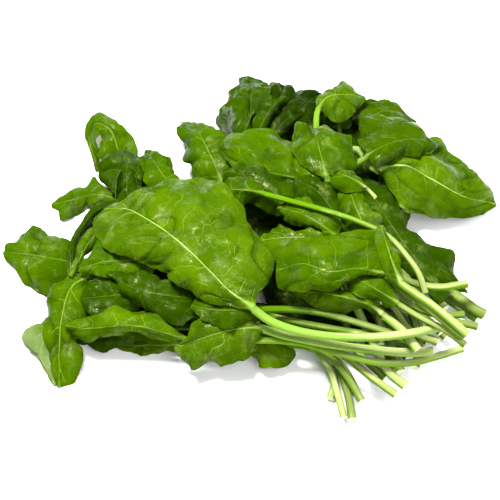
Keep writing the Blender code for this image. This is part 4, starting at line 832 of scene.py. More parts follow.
         right=[(-94, 32, 22), (-104, 26, 24), (-113, 13, 22), (-118.5, 1, 18), (-118.5, -9, 12)],
         stalk_width=3.5, puff=0.8, wave=0.3),
    leaf("inner_strip",
         stalk=[(-50, 0, 12), (-76, 12, 14)],
         rib=[(-94, 15, 16), (-104, 6, 18), (-110, -4, 16), (-117, -17, 10)],
         left=[(-96, 8, 12), (-103, 0, 12), (-108, -6, 12), (-113, -12, 10)],
         right=[(-100, 16, 18), (-109, 8, 18), (-112.5, 0, 16), (-115, -9, 12)],
         stalk_width=3.5, wave=0.4),
    leaf("tucked_left",
         stalk=[(73, -98.5, 3), (62.5, -81.5, 4), (50, -67, 6), (20, -58, 8), (-20, -46, 8),
                    (-52, -36, 8)],
         rib=[(-68, -30, 10), (-80, -29, 14), (-92, -30, 12), (-110, -32, 8)],
         left=[(-74, -40, 8), (-88, -42, 10), (-104, -43, 8)],
         right=[(-74, -21, 10), (-88, -18, 12), (-104, -20, 10)],
         stalk_width=4.5),
    leaf("under_left",
         stalk=[(95, -94, 3), (80, -83.5, 4), (63, -70, 6), (38, -56, 8), (0, -36, 8), (-36, -14, 8)],
         rib=[(-60, -6, 10), (-80, -7, 14), (-96, -8, 12), (-112, -13, 8)],
         left=[(-66, -18, 8), (-82, -18, 8), (-96, -18, 8), (-106, -16, 8)],
         right=[(-68, 6, 10), (-86, 6, 10), (-98, 6, 10), (-106, -4, 8)],
         stalk_width=4.5),
    leaf("inner_dark",
         stalk=[(112, -66, 6), (94, -58, 8), (60, -52, 10), (20, -44, 12), (-12, -36, 14)],
         rib=[(-30, -33, 18), (-50, -30, 24), (-72, -26, 22), (-93, -15, 16)],
         left=[(-34, -41, 16), (-45, -48, 14), (-57, -46, 14), (-69, -39, 14), (-80, -29, 14),
                   (-88, -20, 14)],
         right=[(-36, -27, 18), (-48, -22, 20), (-62, -18, 20), (-78, -14, 18)],
         stalk_width=4.4),
    leaf("long_curl",
         stalk=[(138, -64, 4), (122, -69, 4), (104, -73, 4), (84, -73, 5), (62, -68, 7), (34, -60, 8),
                    (-8, -58, 8)],
         rib=[(-40, -59, 10), (-58, -53, 20), (-76, -49, 24), (-92, -50, 24), (-106, -51, 20),
                  (-120, -49, 14)],
         left=[(-48, -60, 8), (-62, -57, 10), (-76, -54, 10), (-92, -56, 10), (-106, -57, 10),
                   (-116, -54, 10)],
         right=[(-46, -55, 12), (-57, -45, 16), (-72, -39, 18), (-86, -38, 18), (-99, -41, 16),
                    (-111, -45, 14)],
         stalk_width=4.6, puff=2.0, wave=0.6),
    leaf("lower_broad",
         stalk=[(119, -66, 8), (100, -66.5, 8), (80, -64.5, 9), (60, -62, 10), (38, -58, 12),
                    (20, -54, 14)],
         rib=[(7, -50, 18), (-12, -52, 22), (-30, -57, 18), (-49, -64, 8)],
         left=[(4, -60, 12), (-3, -70, 7), (-11, -72, 6), (-19, -76.5, 4), (-27, -74, 4), (-36, -78, 3),
                   (-43, -72, 4)],
         right=[(6, -43, 18), (-12, -42, 20), (-28, -44, 22), (-36, -49, 20), (-39, -57, 14)],
         stalk_width=5.5, puff=2.5, wave=1.8),
    leaf("inner_gloss",
         stalk=[(109, -63, 8), (96, -56, 10), (76, -49, 12), (60, -44, 14), (44, -40, 16), (26, -38, 18)],
         rib=[(6, -38, 22), (-8, -39, 26), (-22, -39, 24), (-38, -36, 18)],
         left=[(3, -44, 20), (-4, -49, 18), (-12, -51, 18), (-21, -50, 18), (-29, -46, 18)],
         right=[(2, -32, 22), (-10, -28, 24), (-24, -28, 22), (-34, -31, 20)],
         stalk_width=4.5),
    leaf("front_small",
         stalk=[(109, -65, 6), (103, -56, 10), (95, -48, 14)],
         rib=[(86, -41, 20), (76, -35, 26), (63, -31, 28), (47, -28, 26), (28, -27, 20)],
         left=[(80, -42, 16), (72, -38, 18), (62, -39, 14), (52, -41, 14), (42, -37, 16), (33, -31, 18)],
         right=[(84, -35, 20), (76, -30, 24), (66, -26, 24), (54, -24, 24), (40, -25, 22)],
         stalk_width=5.2, puff=1.0, wave=0.5),
    leaf("broad_front",
         stalk=[(123, -50, 14), (110, -53, 16), (92, -55.5, 18), (70, -56.3, 20), (48, -55, 22),
                    (28, -51, 26), (12, -44.5, 32)],
         rib=[(2, -37, 38), (-13, -27, 42), (-25, -15, 44), (-38, -2, 43), (-52, 10, 41), (-67, 20, 36),
                  (-80, 26.5, 29), (-95, 26.5, 18)],
         left=[(-5, -38, 36), (-20, -36, 35), (-33, -31.5, 33), (-41, -27.5, 32), (-50, -20.5, 31),
                   (-57, -14.5, 29), (-68, -10, 27), (-78, -5.5, 25), (-88, -2.5, 22), (-97, 5, 18),
                   (-101.5, 13, 15), (-99.5, 22, 15)],
         right=[(5, -29, 38), (10, -23.5, 38), (14.5, -16, 38), (15.5, -6, 38), (9, 1, 38), (5, 10, 38),
                    (-2, 22, 38), (-8, 32, 36), (-16, 40, 33), (-25, 45.5, 31), (-38, 48, 30), (-50, 46, 28),
                    (-66, 39.5, 25), (-76, 34.5, 23), (-87, 30.5, 19)],
         stalk_width=5.3, puff=3.5, wave=2.0, waves=3.5),
    leaf("crumpled",
         stalk=[(140, -62, 8), (127, -52, 12), (110, -43, 16)],
         rib=[(96, -34, 22), (86, -28, 28), (76, -22, 28), (64, -16, 24)],
         left=[(90, -37, 18), (80, -31, 20), (70, -28, 20), (62, -23, 20)],
         right=[(96, -26, 22), (90, -18, 26), (82, -12, 26), (72, -10, 24)],
         stalk_width=4.0, wave=2.0, waves=2.0),
    leaf("middle",
         stalk=[(139, -57, 14), (126, -46, 20), (110, -33, 26), (99, -24, 30)],
         rib=[(88, -15, 36), (70, -12, 41), (52, -14, 43), (34, -9, 42), (17, -14, 34)],
         left=[(81, -17, 34), (71, -17, 34), (58, -23, 32), (46, -26, 32), (32, -27, 32), (21, -27, 30),
                   (17, -20, 30)],
         right=[(89, -6, 38), (87, 4, 38), (81, 12.5, 36), (70, 13, 38), (56, 11, 40), (42, 8.5, 40),
                    (29, 6, 38), (20, -3, 34)],
         stalk_width=4.6, puff=3.0, wave=1.0),
    leaf("folded_strip",
         stalk=[(141.5, -55, 12), (129, -44, 18), (117, -34, 24), (107, -27, 28)],
         rib=[(98, -20, 34), (93, -9, 40), (89, 3, 42), (85, 16, 36)],
         left=[(90, -19, 34), (85, -8, 38), (82, 3, 40), (81.5, 12, 38)],
         right=[(98, -12, 36), (95, -2, 38), (91, 8, 38)],
         stalk_width=4.8, puff=0.8, wave=0.4),
)


def through(at, values, spots):
    """Values along the first axis, known at the places at, carried smoothly to other spots."""
    at = np.asarray(at, float)
    return carried(at, np.diff(at), values, spots)


def rolling(draw, x, y, length, terms=8):
    """A random relief about one high: a sum of sine waves in random directions, about a length long."""
    total = np.zeros(np.broadcast(x, y).shape)
    for _ in range(terms):
        angle = draw.uniform(0, 2 * math.pi)
        size = 2 * math.pi / (length * draw.uniform(0.7, 1.5))
        way = (x * math.cos(angle) + y * math.sin(angle)) * size
        total = total + np.sin(way + draw.uniform(0, 2 * math.pi))
    return total / math.sqrt(terms)


def blurred(field):
    """The field softened once: each place is a quarter, a half and a quarter of three in a row, both ways."""
    padded = np.pad(field, 1, mode="edge")
    field = (padded[:-2] + 2 * padded[1:-1] + padded[2:]) / 4
    return (field[:, :-2] + 2 * field[:, 1:-1] + field[:, 2:]) / 4


def vein_field(draw, coarse, rows, shares, middle, along, across):
    """Where the side veins run: a count that is whole on each vein, and the way from one to the next.

    The count grows evenly along the rib and falls with the share from rib to margin, so that the veins sweep
    towards the tip. It is half a vein out of step between the sides, and a rolling relief bends it.
    """
    t, x = rows[:, None], np.abs(shares)[None, :]
    side = np.sign(shares)[None, :]
    veins = max(3.0, round(coarse["blade_length"] / VEIN_SPACING))
    bend = 0.22 * rolling(draw, along, across, BEND_LENGTH)
    bend = bend + 0.05 * rolling(draw, along, across, SMALL_BEND_LENGTH)
    branch = veins * (t - VEIN_SWEEP * x**1.2 * (1.0 - 0.4 * t)) + 0.25 * side
    branch = branch + bend * np.clip(np.abs(across) / 6.0, 0, 1)
    lengthways = np.gradient(middle, rows, axis=0)
    crossways = np.gradient(middle, shares, axis=1)
    e = (lengthways * lengthways).sum(axis=2)
    f = (lengthways * crossways).sum(axis=2)
    g = (crossways * crossways).sum(axis=2)
    along_t = np.gradient(branch, rows, axis=0)
    along_x = np.gradient(branch, shares, axis=1)
    steep = (g * along_t**2 - 2 * f * along_t * along_x + e * along_x**2) / np.maximum(e * g - f * f, 1e-3)
    return branch, 1.0 / np.sqrt(np.clip(steep, 1e-4, 4.0))


def relief_of(draw, x, t, side, along, across, branch, gap, half_width):
    """How far the blade stands up, how high that looks, and how far the margin goes in.

    The blade rises from each side vein as one less an exponential of the way from it, rolls in swells, and
    falls into creases, which are exponentials of a relief's size. The margin ruffles with the share cubed.
    """
    fade = np.clip(np.minimum(t, 1 - t) * 8, 0, 1)
    inside = np.clip(np.abs(across) / 3.0, 0, 1)
    part = branch - np.floor(branch)
    from_vein = np.minimum(part, 1 - part) * gap
    strength = np.clip(0.75 + 0.45 * rolling(draw, along, across, PATCH_LENGTH), 0.1, 1.6)
    quilt = QUILT * strength * np.clip(gap / QUILT_GAP, 0.2, 1.2)
    quilt = quilt * (1 - np.exp(-from_vein / VEIN_VALLEY)) * (1 - 0.5 * x)
    creases = np.exp(-np.abs(rolling(draw, along, across, CREASE_LENGTH)) / CREASE_WIDTH)
    creases = creases * np.clip(0.6 + 0.6 * rolling(draw, along, across, CREASE_PATCH_LENGTH), 0, 1.4)
    swells = SWELL_HEIGHT * rolling(draw, along, across, SWELL_LENGTH)
    swells = swells + SMALL_SWELL_HEIGHT * rolling(draw, along, across, SMALL_SWELL_LENGTH)
    grain = GRAIN_HEIGHT * rolling(draw, along, across, GRAIN_LENGTH)
    relief = (quilt + swells - CREASE_DEPTH * creases + grain) * inside
    ruffle = rolling(draw, along, 40.0 * side + 0 * along, RUFFLE_LENGTH)
    ruffle = ruffle * np.clip(half_width / 18.0, 0.2, 1.0)
    teeth = TOOTH_DEPTH * rolling(draw, along, 60.0 * side + 0 * along, TOOTH_LENGTH)
    teeth = teeth + SMALL_TOOTH_DEPTH * rolling(draw, along, 90.0 * side + 0 * along, SMALL_TOOTH_LENGTH)
    bites = np.clip(rolling(draw, along, 75.0 * side + 0 * along, BITE_LENGTH) - 1.0, 0, 1)
    teeth = (teeth - BITE_DEPTH * bites) * x**8 * fade * np.clip(half_width / 12, 0, 1)
    relief = (relief + RUFFLE_HEIGHT * ruffle * x**3) * fade
    return relief, quilt + 0.5 * swells - CREASE_DEPTH * creases, teeth


def fine_leaf(leaf, number, coarse, pile):
    """One fine leaf: its points in space, its faces, the values for its finish and where its cut end starts.

    Its middle surface is the frame leaf's, with relief. Each face lies half the thickness off it, and the
    rib adds a bell curve of the way across. It is lifted as the frame's leaf was, and clear of those beneath.
    """
    draw = np.random.default_rng(FIRST_SEED + number)
    spacing = DEEP_SPACING if leaf["name"] in DEEP_LEAVES else FINE_SPACING
    rows = np.linspace(0.0, 1.0, int(np.clip(coarse["blade_length"] / spacing, 24, 150)) + 1)
    rows = np.insert(rows, -1, 1.0 - EDGE_BAND / coarse["blade_length"])
    shares = np.linspace(-1.0, 1.0, 2 * int(np.clip(coarse["span"] / spacing / 2, 7, 55)) + 1)
    band = EDGE_BAND / coarse["span"] * 2
    shares = np.concatenate([[-1.0, band - 1.0], shares[1:-1], [1.0 - band, 1.0]])
    middle = blade_sheet(leaf, rows, shares)
    crossways = np.gradient(middle, shares, axis=1)
    normals = direction_of(np.cross(crossways, np.gradient(middle, rows, axis=0)))
    steps = np.linalg.norm(np.diff(middle, axis=1), axis=2)
    across = np.concatenate([np.zeros((len(rows), 1)), np.cumsum(steps, axis=1)], axis=1)
    across = across - across[:, len(shares) // 2, None]
    along = np.broadcast_to((rows * coarse["blade_length"])[:, None], across.shape)
    t, x = rows[:, None], np.abs(shares)[None, :]
    side = np.sign(shares)[None, :]
    half_width = np.maximum(np.abs(across[:, [0, -1]]).max(axis=1), 1.0)[:, None]

    branch, gap = vein_field(draw, coarse, rows, shares, middle, along, across)
    relief, rise, teeth = relief_of(draw, x, t, side, along, across, branch, gap, half_width)
    inward = crossways / np.maximum(np.linalg.norm(crossways, axis=2, keepdims=True), 1e-6) * side[..., None]
    middle = middle + normals * relief[..., None] + inward * teeth[..., None]
    normals = direction_of(np.cross(np.gradient(middle, axis=1), np.gradient(middle, axis=0)))

    thick = leaf["stalk_width"] * STALK_THICKNESS_SHARE - BLADE_THICKNESS
    bulge = thick * np.exp(-t / RIB_RUNS_OUT) + RIB_KEPT * (1 - t)
    rib_half = 1.0 + (leaf["stalk_width"] * 0.5 - 1.0) * np.exp(-t / 0.3)
    bulge = bulge * np.exp(-((across / (rib_half * 1.3)) ** 2))
    rib_line = 0.32 + 0.3 * np.exp(-(((t - 0.4) / 0.3) ** 2)) * min(1.2, coarse["blade_length"] / 90.0)
    rib_line = rib_line + (leaf["stalk_width"] * 0.5 - 0.5) * np.exp(-along / 7.0)
    over = FINE_THICKNESS / 2 + (bulge if leaf["turned"] else RIB_ON_UPPER_FACE * bulge)
    under = FINE_THICKNESS / 2 + (RIB_ON_UPPER_FACE * bulge if leaf["turned"] else bulge)
    upper = middle + normals * over[..., None]
    lower = middle - normals * under[..., None]

    count = max(8, int(coarse["stalk_length"] / FINE_STALK_SPACING))
    stalk_shares = np.linspace(0.0, coarse["whole"] * (1 - 0.25 / count), count)
    stalk_points = stalk_rings(leaf, stalk_shares, coarse, FINE_STALK_SIDES, True).reshape(-1, 3)
    columns = len(shares)
    ring_size = 2 * columns
    points = np.concatenate([stalk_points, np.concatenate([upper, lower[:, ::-1]], axis=1).reshape(-1, 3)])
    first = len(stalk_points)
    grid = count + np.arange(len(rows) * columns).reshape(len(rows), columns)
    blade_nodes = np.concatenate([grid, grid[:, ::-1]], axis=1).reshape(-1)
    nodes = np.concatenate([np.repeat(np.arange(count), FINE_STALK_SIDES), blade_nodes])

    blade_lift = through(coarse["rows"], coarse["blade_lift"], rows)
    blade_lift = through(coarse["strips"], blade_lift.T, shares).T
    stalk_at = np.append(coarse["stalk_shares"], coarse["whole"])
    stalk_known = np.append(coarse["stalk_lift"], coarse["blade_lift"][0].mean())
    stalk_lift = through(stalk_at, stalk_known, stalk_shares)
    views = seen(points)
    cells = cell_of(views)
    front = spread(pile).reshape(-1)[cells]
    need = np.where(front > EMPTY / 10, np.maximum(front + FINE_GAP, OVER_TABLE), OVER_TABLE)
    for _ in range(LIFT_ROUNDS):
        lift = np.concatenate([stalk_lift, blade_lift.reshape(-1)])
        sunk = need - views[:, 2] - lift[nodes]
        if sunk.max() < LIFT_LEFT:
            break
        push = np.zeros(len(lift))
        np.maximum.at(push, nodes, np.maximum(sunk, 0.0))
        blade_lift = blade_lift + blurred(spread(push[count:].reshape(grid.shape)))
        stalk_lift = stalk_lift + blurred(spread(push[:count, None].repeat(3, axis=1)))[:, 1]
    lift = np.concatenate([stalk_lift, blade_lift.reshape(-1)])
    views[:, 2] += lift[nodes]
    np.maximum.at(pile.reshape(-1), cells, views[:, 2])
    points = unseen(views)

    # The cut end is a face of its own, slightly hollow.
    rim = points[:FINE_STALK_SIDES]
    heart = rim.mean(axis=0)
    inwards = direction_of(points[FINE_STALK_SIDES : 2 * FINE_STALK_SIDES].mean(axis=0) - heart)
    end = len(points)
    hollow = heart + (rim - heart) * HOLLOW_SHARE + inwards * HOLLOW_RIM_DEPTH
    points = np.concatenate([points, rim, hollow, heart[None] + inwards * HOLLOW_DEPTH])

    ring = np.arange(FINE_STALK_SIDES)
    after = np.roll(ring, -1)
    quads = []
    for r in range(count - 1):
        a = r * FINE_STALK_SIDES
        b = a + FINE_STALK_SIDES
        quads.append(np.stack([a + ring, a + after, b + after, b + ring], axis=1))
    turn = np.arange(ring_size)
    turned = np.roll(turn, -1)
    for r in range(len(rows) - 1):
        a = first + r * ring_size
        quads.append(np.stack([a + turn, a + turned, a + ring_size + turned, a + ring_size + turn], axis=1))
    last = first + (len(rows) - 1) * ring_size
    k = np.arange(columns - 1)
    below = last + ring_size - 1 - k
    quads.append(np.stack([last + k, last + k + 1, below - 1, below], axis=1))
    inner = end + FINE_STALK_SIDES
    quads.append(np.stack([end + after, end + ring, inner + ring, inner + after], axis=1))
    triangles = zipped(
        list(range(first - FINE_STALK_SIDES, first)),
        np.arange(FINE_STALK_SIDES) / FINE_STALK_SIDES,
        list(range(first, first + ring_size)),
        ring_shares(columns),
    )
    tip = len(points) - 1
    triangles += [(inner + b, inner + a, tip) for a, b in zip(ring, after)]

    def whole_leaf(on_stalk, on_top, on_bottom, on_cut):
        """A value at every point: down the stalk, over both faces of the blade and on the cut end."""
        flat = np.ones_like(across)
        faces = np.concatenate([on_top * flat, (on_bottom * flat)[:, ::-1]], axis=1).reshape(-1)
        cut = np.full(2 * FINE_STALK_SIDES + 1, float(on_cut))
        return np.concatenate([on_stalk * np.ones(first), faces, cut])

    length = coarse["stalk_length"]
    down = np.repeat(np.linspace(0.0, length, count), FINE_STALK_SIDES)
    round_turn = np.tile(math.pi - ring * 2 * math.pi / FINE_STALK_SIDES, count)
    half_stalk = leaf["stalk_width"] / 2
    top_is_under = 1.0 if leaf["turned"] else 0.0
    near = np.clip(1.4 - np.abs(across) / rib_line, 0, 1)
    stalk_share = near * np.clip(1 - along / 9.0, 0, 1)
    values = {
        "sheet": (whole_leaf(np.cos(round_turn) * half_stalk, across, across, 0.0),
                  whole_leaf(down - length, along, along, -length),
                  whole_leaf(np.sin(round_turn) * half_stalk, 0.0, 0.0, 0.0) + 40.0 * number),
        "veins": (whole_leaf(0.5, branch, branch, 0.5), whole_leaf(20.0, gap, gap, 20.0),
                  whole_leaf(9.0, rib_line, rib_line, 9.0)),
        "form": (whole_leaf(0.0, x, x, 0.0), whole_leaf(0.0, rise, rise, 0.0),
                 whole_leaf(0.0, top_is_under, 1 - top_is_under, 0.0)),
        "stem": (whole_leaf(1.0, stalk_share, stalk_share, 1.0),
                 whole_leaf(np.sin(round_turn), near, -near, 0.0),
                 whole_leaf(down, along + length, along + length, 0.0)),
    }
    return points, quads, triangles, values, end


def make_mesh(name, points, quads, triangles, values, first_cut_point):
    """A smooth mesh from points and faces, with three values of each kind stored at its points."""
    quads = np.concatenate(quads)
    triangles = np.array(triangles)
    mesh = bpy.data.meshes.new(name)
    mesh.vertices.add(len(points))
    mesh.vertices.foreach_set("co", (points * MM).astype(np.float32).reshape(-1))
    corners = np.concatenate([quads.reshape(-1), triangles.reshape(-1)]).astype(np.int32)
    sizes = np.concatenate([np.full(len(quads), 4), np.full(len(triangles), 3)])
    starts = np.concatenate([[0], np.cumsum(sizes)[:-1]]).astype(np.int32)
    mesh.loops.add(len(corners))
    mesh.loops.foreach_set("vertex_index", corners)
    mesh.polygons.add(len(sizes))
    mesh.polygons.foreach_set("loop_start", starts)
    mesh.polygons.foreach_set("use_smooth", np.ones(len(sizes), bool))
    on_cut = corners[starts] >= first_cut_point
    mesh.polygons.foreach_set("material_index", on_cut.astype(np.int32))
    mesh.update(calc_edges=True)
    mesh.validate()
    for key, parts in values.items():
        stored = mesh.attributes.new(key, "FLOAT_VECTOR", "POINT")
        stored.data.foreach_set("vector", np.stack(parts, axis=1).astype(np.float32).reshape(-1))
    return mesh


# Finishes.
RANGE = "ShaderNodeMapRange"
MATH = "ShaderNodeMath"
MIX = "ShaderNodeMix"
NOISE = "ShaderNodeTexNoise"
CELLS = "ShaderNodeTexVoronoi"
SMOOTH = {"interpolation_type": "SMOOTHSTEP"}
EDGES = {"feature": "DISTANCE_TO_EDGE"}
COLORS = {"data_type": "RGBA"}
MIXED = 2
ALL = slice(None)

# Sizes of the patterns on a leaf, in millimetres.
MOTTLE = 24.0
CLEARING = 15.0
SHINE_PATCH = 11.0
SWAY = 9.0
NET = 9.5
FINE_NET = 2.2
FIBRE = 0.9
FIBRE_LENGTH = 40.0

# Greens that every leaf has: painted shade in the low spots, a painted highlight on the high spots, the under
# face and its veins, and light that comes through.
PAINTED_CREASE_SHADE = "1E3600"
PAINTED_GLOSS_GREEN = "627A12"
UNDER_DARK = "46600E"
UNDER_PALE = "627642"
UNDER_VEIN = "8A9A62"
GLOW_GREEN = "607C00"
LEAF_IOR = 1.3
WAX_TINT = (1.0, 0.95, 0.5, 1.0)
LET_THROUGH = 0.18
PALE_FROM_CUT = 20.0
GREEN_FROM_CUT = 110.0


def color(code):
    """A colour written as on a screen, as the light it stands for."""
    parts = [int(code[i : i + 2], 16) / 255 for i in (0, 2, 4)]
    return tuple(p / 12.92 if p <= 0.04045 else ((p + 0.055) / 1.055) ** 2.4 for p in parts) + (1.0,)


def add(tree, kind, inputs=None, output=0, **settings):
    """Adds a node with its settings and inputs, each a value or another node's output, and gives its output.

    A Map Range takes its value at input 0, the range at 1 and 2 and what it turns into at 3 and 4. A colour
    Mix takes its share at input 0 and the colours at 6 and 7, and gives the colour at output 2.
    """
    node = tree.nodes.new(kind)
    for key, value in settings.items():
        setattr(node, key, value)
    for key, value in (inputs or {}).items():
        if isinstance(value, bpy.types.NodeSocket):
            tree.links.new(value, node.inputs[key])
        else:
            node.inputs[key].default_value = value
    return node.outputs[output] if node.outputs else node


def empty_material(name):
    """A material with nothing in it yet, and its node tree."""
    material = bpy.data.materials.new(name)
    material.use_nodes = True
    material.node_tree.nodes.clear()
    return material, material.node_tree


def leaf_material(name, bright, dark, vein, line, pale_highlit_stem, green_stem, rib_shows, gloss):
    """A spinach leaf as it grew, with a thin wax bloom over a veined blade.

    To the eye the high spots shine softly in patches, partly by the wax's own gloss and partly by a painted
    highlight; the creases are darker by painted shade, and the veins are pale threads that fade in and out.
    The under face is paler and dull. The stalk is pale along its top, its own paleness with a painted
    highlight on it, and green at its sides.
    """
    material, tree = empty_material(name)
    place, *stored = [
        add(tree, "ShaderNodeAttribute", attribute_name=key, output="Vector")
        for key in ("sheet", "veins", "form", "stem")
    ]
    across = add(tree, "ShaderNodeSeparateXYZ", {0: place}, "X")
    (branch, gap, rib_line), (edge, rise, under), (stalk, top_side, to_cut) = [
        add(tree, "ShaderNodeSeparateXYZ", {0: vector}, ALL) for vector in stored
    ]

    # Slow fields: where the veins show, where the bloom lies and how worn it is.
    fields = add(tree, NOISE, {"Vector": place, "Scale": 1 / CLEARING, "Detail": 3.0}, "Color")
    clear, worn, faded = add(tree, "ShaderNodeSeparateColor", {0: fields}, ALL)
    shown = add(tree, RANGE, {0: clear, 1: 0.38, 2: 0.6}, **SMOOTH)
    sway = add(tree, NOISE, {"Vector": place, "Scale": 1 / SWAY, "Detail": 3.0}, "Color")
    sway = add(tree, "ShaderNodeVectorMath", {0: sway, "Scale": 10.0}, operation="SCALE")
    crooked = add(tree, "ShaderNodeVectorMath", {0: place, 1: sway}, operation="ADD")

    # The rib is a pale band that ends within its half width. Each of these is one on a vein and nought off it.
    size = add(tree, MATH, {0: across}, operation="ABSOLUTE")
    size = add(tree, MATH, {0: size, 1: rib_line}, operation="DIVIDE")
    rib_share = add(tree, RANGE, {0: faded, 1: 0.36, 2: 0.58, 3: 0.4 * rib_shows, 4: rib_shows}, **SMOOTH)
    rib = add(tree, RANGE, {0: size, 1: 0.95, 2: 0.3, 4: rib_share}, **SMOOTH)
    off = add(tree, MATH, {0: branch, 1: 0.5}, operation="PINGPONG")
    off = add(tree, MATH, {0: off, 1: gap}, operation="MULTIPLY")
    half_vein = add(tree, RANGE, {0: edge, 3: 0.48, 4: 0.2})
    off = add(tree, MATH, {0: off, 1: half_vein}, operation="DIVIDE")
    side_share = add(tree, RANGE, {0: edge, 1: 0.95, 2: 0.45}, **SMOOTH)
    side_shown = add(tree, RANGE, {0: clear, 1: 0.38, 2: 0.62, 3: 0.12, 4: side_share}, **SMOOTH)
    side = add(tree, RANGE, {0: off, 1: 1.5, 2: 0.3, 4: side_shown}, **SMOOTH)
    net = add(tree, CELLS, {"Vector": crooked, "Scale": 1 / NET}, "Distance", **EDGES)
    net = add(tree, RANGE, {0: net, 1: 0.07, 2: 0.0, 4: shown}, **SMOOTH)
    fine = add(tree, CELLS, {"Vector": crooked, "Scale": 1 / FINE_NET}, "Distance", **EDGES)
    fine = add(tree, RANGE, {0: fine, 1: 0.14, 2: 0.0}, **SMOOTH)

    # Upper face: mottled, with painted shade low down and a painted highlight on the high spots.
    mottle = add(tree, NOISE, {"Vector": place, "Scale": 1 / MOTTLE, "Detail": 5.0, "Roughness": 0.62}, "Fac")
    patch = add(tree, RANGE, {0: mottle, 1: 0.36, 2: 0.66}, **SMOOTH)
    top = add(tree, MIX, {0: patch, 6: color(dark), 7: color(bright)}, MIXED, **COLORS)
    # Painted shade: where the relief is low, the upper face is mixed towards a dark green.
    low = add(tree, RANGE, {0: rise, 1: 0.25, 2: -0.6, 4: 0.7}, **SMOOTH)
    top = add(tree, MIX, {0: low, 6: top, 7: color(PAINTED_CREASE_SHADE)}, MIXED, **COLORS)
    fleck = add(tree, NOISE, {
        "Vector": crooked, "Scale": 1 / SHINE_PATCH, "Detail": 5.0, "Roughness": 0.68}, "Fac")
    # Painted highlight: pale green patches on the high spots of the relief, where the fleck noise is high.
    high = add(tree, RANGE, {0: rise, 1: 0.0, 2: 1.0, 4: 0.4}, **SMOOTH)
    painted_gloss = add(tree, RANGE, {0: fleck, 1: 0.52, 2: 0.66, 4: high}, **SMOOTH)
    top = add(tree, MIX, {0: painted_gloss, 6: top, 7: color(PAINTED_GLOSS_GREEN)}, MIXED, **COLORS)
    lines = add(tree, MATH, {0: fine, 1: 0.14}, operation="MULTIPLY")
    lines = add(tree, MATH, {0: net, 1: 0.28, 2: lines}, operation="MULTIPLY_ADD")
    lines = add(tree, MATH, {0: side, 1: lines}, operation="MAXIMUM")
    faint = add(tree, MATH, {0: lines, 1: 0.38}, operation="MULTIPLY")
    top = add(tree, MIX, {0: faint, 6: top, 7: color(line)}, MIXED, **COLORS)

    # Under face: paler, with the same veins standing out.
    below = add(tree, MIX, {0: patch, 6: color(UNDER_DARK), 7: color(UNDER_PALE)}, MIXED, **COLORS)
    faint = add(tree, MATH, {0: lines, 1: 0.55}, operation="MULTIPLY")
    below = add(tree, MIX, {0: faint, 6: below, 7: color(UNDER_VEIN)}, MIXED, **COLORS)
    blade = add(tree, MIX, {0: under, 6: top, 7: below}, MIXED, **COLORS)
    blade = add(tree, MIX, {0: rib, 6: blade, 7: color(vein)}, MIXED, **COLORS)

    # Stalk: fibres run along it, pale on top (its own paleness with a painted highlight) and near the cut, and
    # green at the sides and near the blade.
    stretch = (1 / FIBRE, 1 / FIBRE_LENGTH, 1 / FIBRE)
    fibres = add(tree, "ShaderNodeVectorMath", {0: place, 1: stretch}, operation="MULTIPLY")
    fibres = add(tree, NOISE, {"Vector": fibres, "Scale": 1.0, "Detail": 3.0}, "Fac")
    # Painted highlight: the top of the stalk is made paler, on top of its own pale colour.
    paleness_and_highlight = add(tree, MATH, {0: fibres, 1: 2.2, 2: top_side}, operation="MULTIPLY_ADD")
    near_cut = add(tree, RANGE, {0: to_cut, 1: GREEN_FROM_CUT, 2: PALE_FROM_CUT, 3: 0.0, 4: 0.8})
    paleness_and_highlight = add(tree, MATH, {0: paleness_and_highlight, 1: near_cut}, operation="ADD")
    paleness_and_highlight = add(tree, RANGE, {0: paleness_and_highlight, 1: 2.0, 2: 3.2}, **SMOOTH)
    stem_skin = add(tree, MIX, {0: paleness_and_highlight, 6: color(green_stem), 7: color(pale_highlit_stem)}, MIXED, **COLORS)
    skin = add(tree, MIX, {0: stalk, 6: blade, 7: stem_skin}, MIXED, **COLORS)

    # Wax shines where it isn't worn. The under face is dull.
    rough = add(tree, RANGE, {0: worn, 1: 0.36, 2: 0.64, 3: gloss, 4: gloss + 0.24}, **SMOOTH)
    rough = add(tree, MATH, {0: under, 1: 0.18, 2: rough}, operation="MULTIPLY_ADD")
    shine = add(tree, RANGE, {0: fleck, 1: 0.46, 2: 0.74, 3: 0.0, 4: 0.9}, **SMOOTH)
    depth = add(tree, MATH, {0: fine, 1: 0.08}, operation="MULTIPLY")
    depth = add(tree, MATH, {0: net, 1: 0.18, 2: depth}, operation="MULTIPLY_ADD")
    depth = add(tree, MATH, {0: side, 1: 0.25, 2: depth}, operation="MULTIPLY_ADD")
    upwards = add(tree, RANGE, {0: under, 3: -1.0, 4: 1.0})
    depth = add(tree, MATH, {0: depth, 1: upwards}, operation="MULTIPLY")
    ridges = add(tree, MATH, {0: fibres, 1: 0.4}, operation="MULTIPLY")
    depth = add(tree, MIX, {0: stalk, 2: depth, 3: ridges})
    bump = add(tree, "ShaderNodeBump", {"Height": depth, "Distance": MM, "Strength": 0.9})
    surface = add(tree, "ShaderNodeBsdfPrincipled", {
        "Base Color": skin, "Roughness": rough, "Normal": bump, "IOR": LEAF_IOR,
        "Specular IOR Level": shine, "Specular Tint": WAX_TINT})

    # A little light comes through the blade and none through the stalk.
    glow = add(tree, MIX, {0: 0.5, 6: skin, 7: color(GLOW_GREEN)}, MIXED, **COLORS)
    through_light = add(tree, "ShaderNodeBsdfTranslucent", {"Color": glow, "Normal": bump})
    share = add(tree, RANGE, {0: stalk, 3: LET_THROUGH, 4: 0.0})
    mixed = add(tree, "ShaderNodeMixShader", {0: share, 1: surface, 2: through_light})
    add(tree, "ShaderNodeOutputMaterial", {"Surface": mixed})
    return material


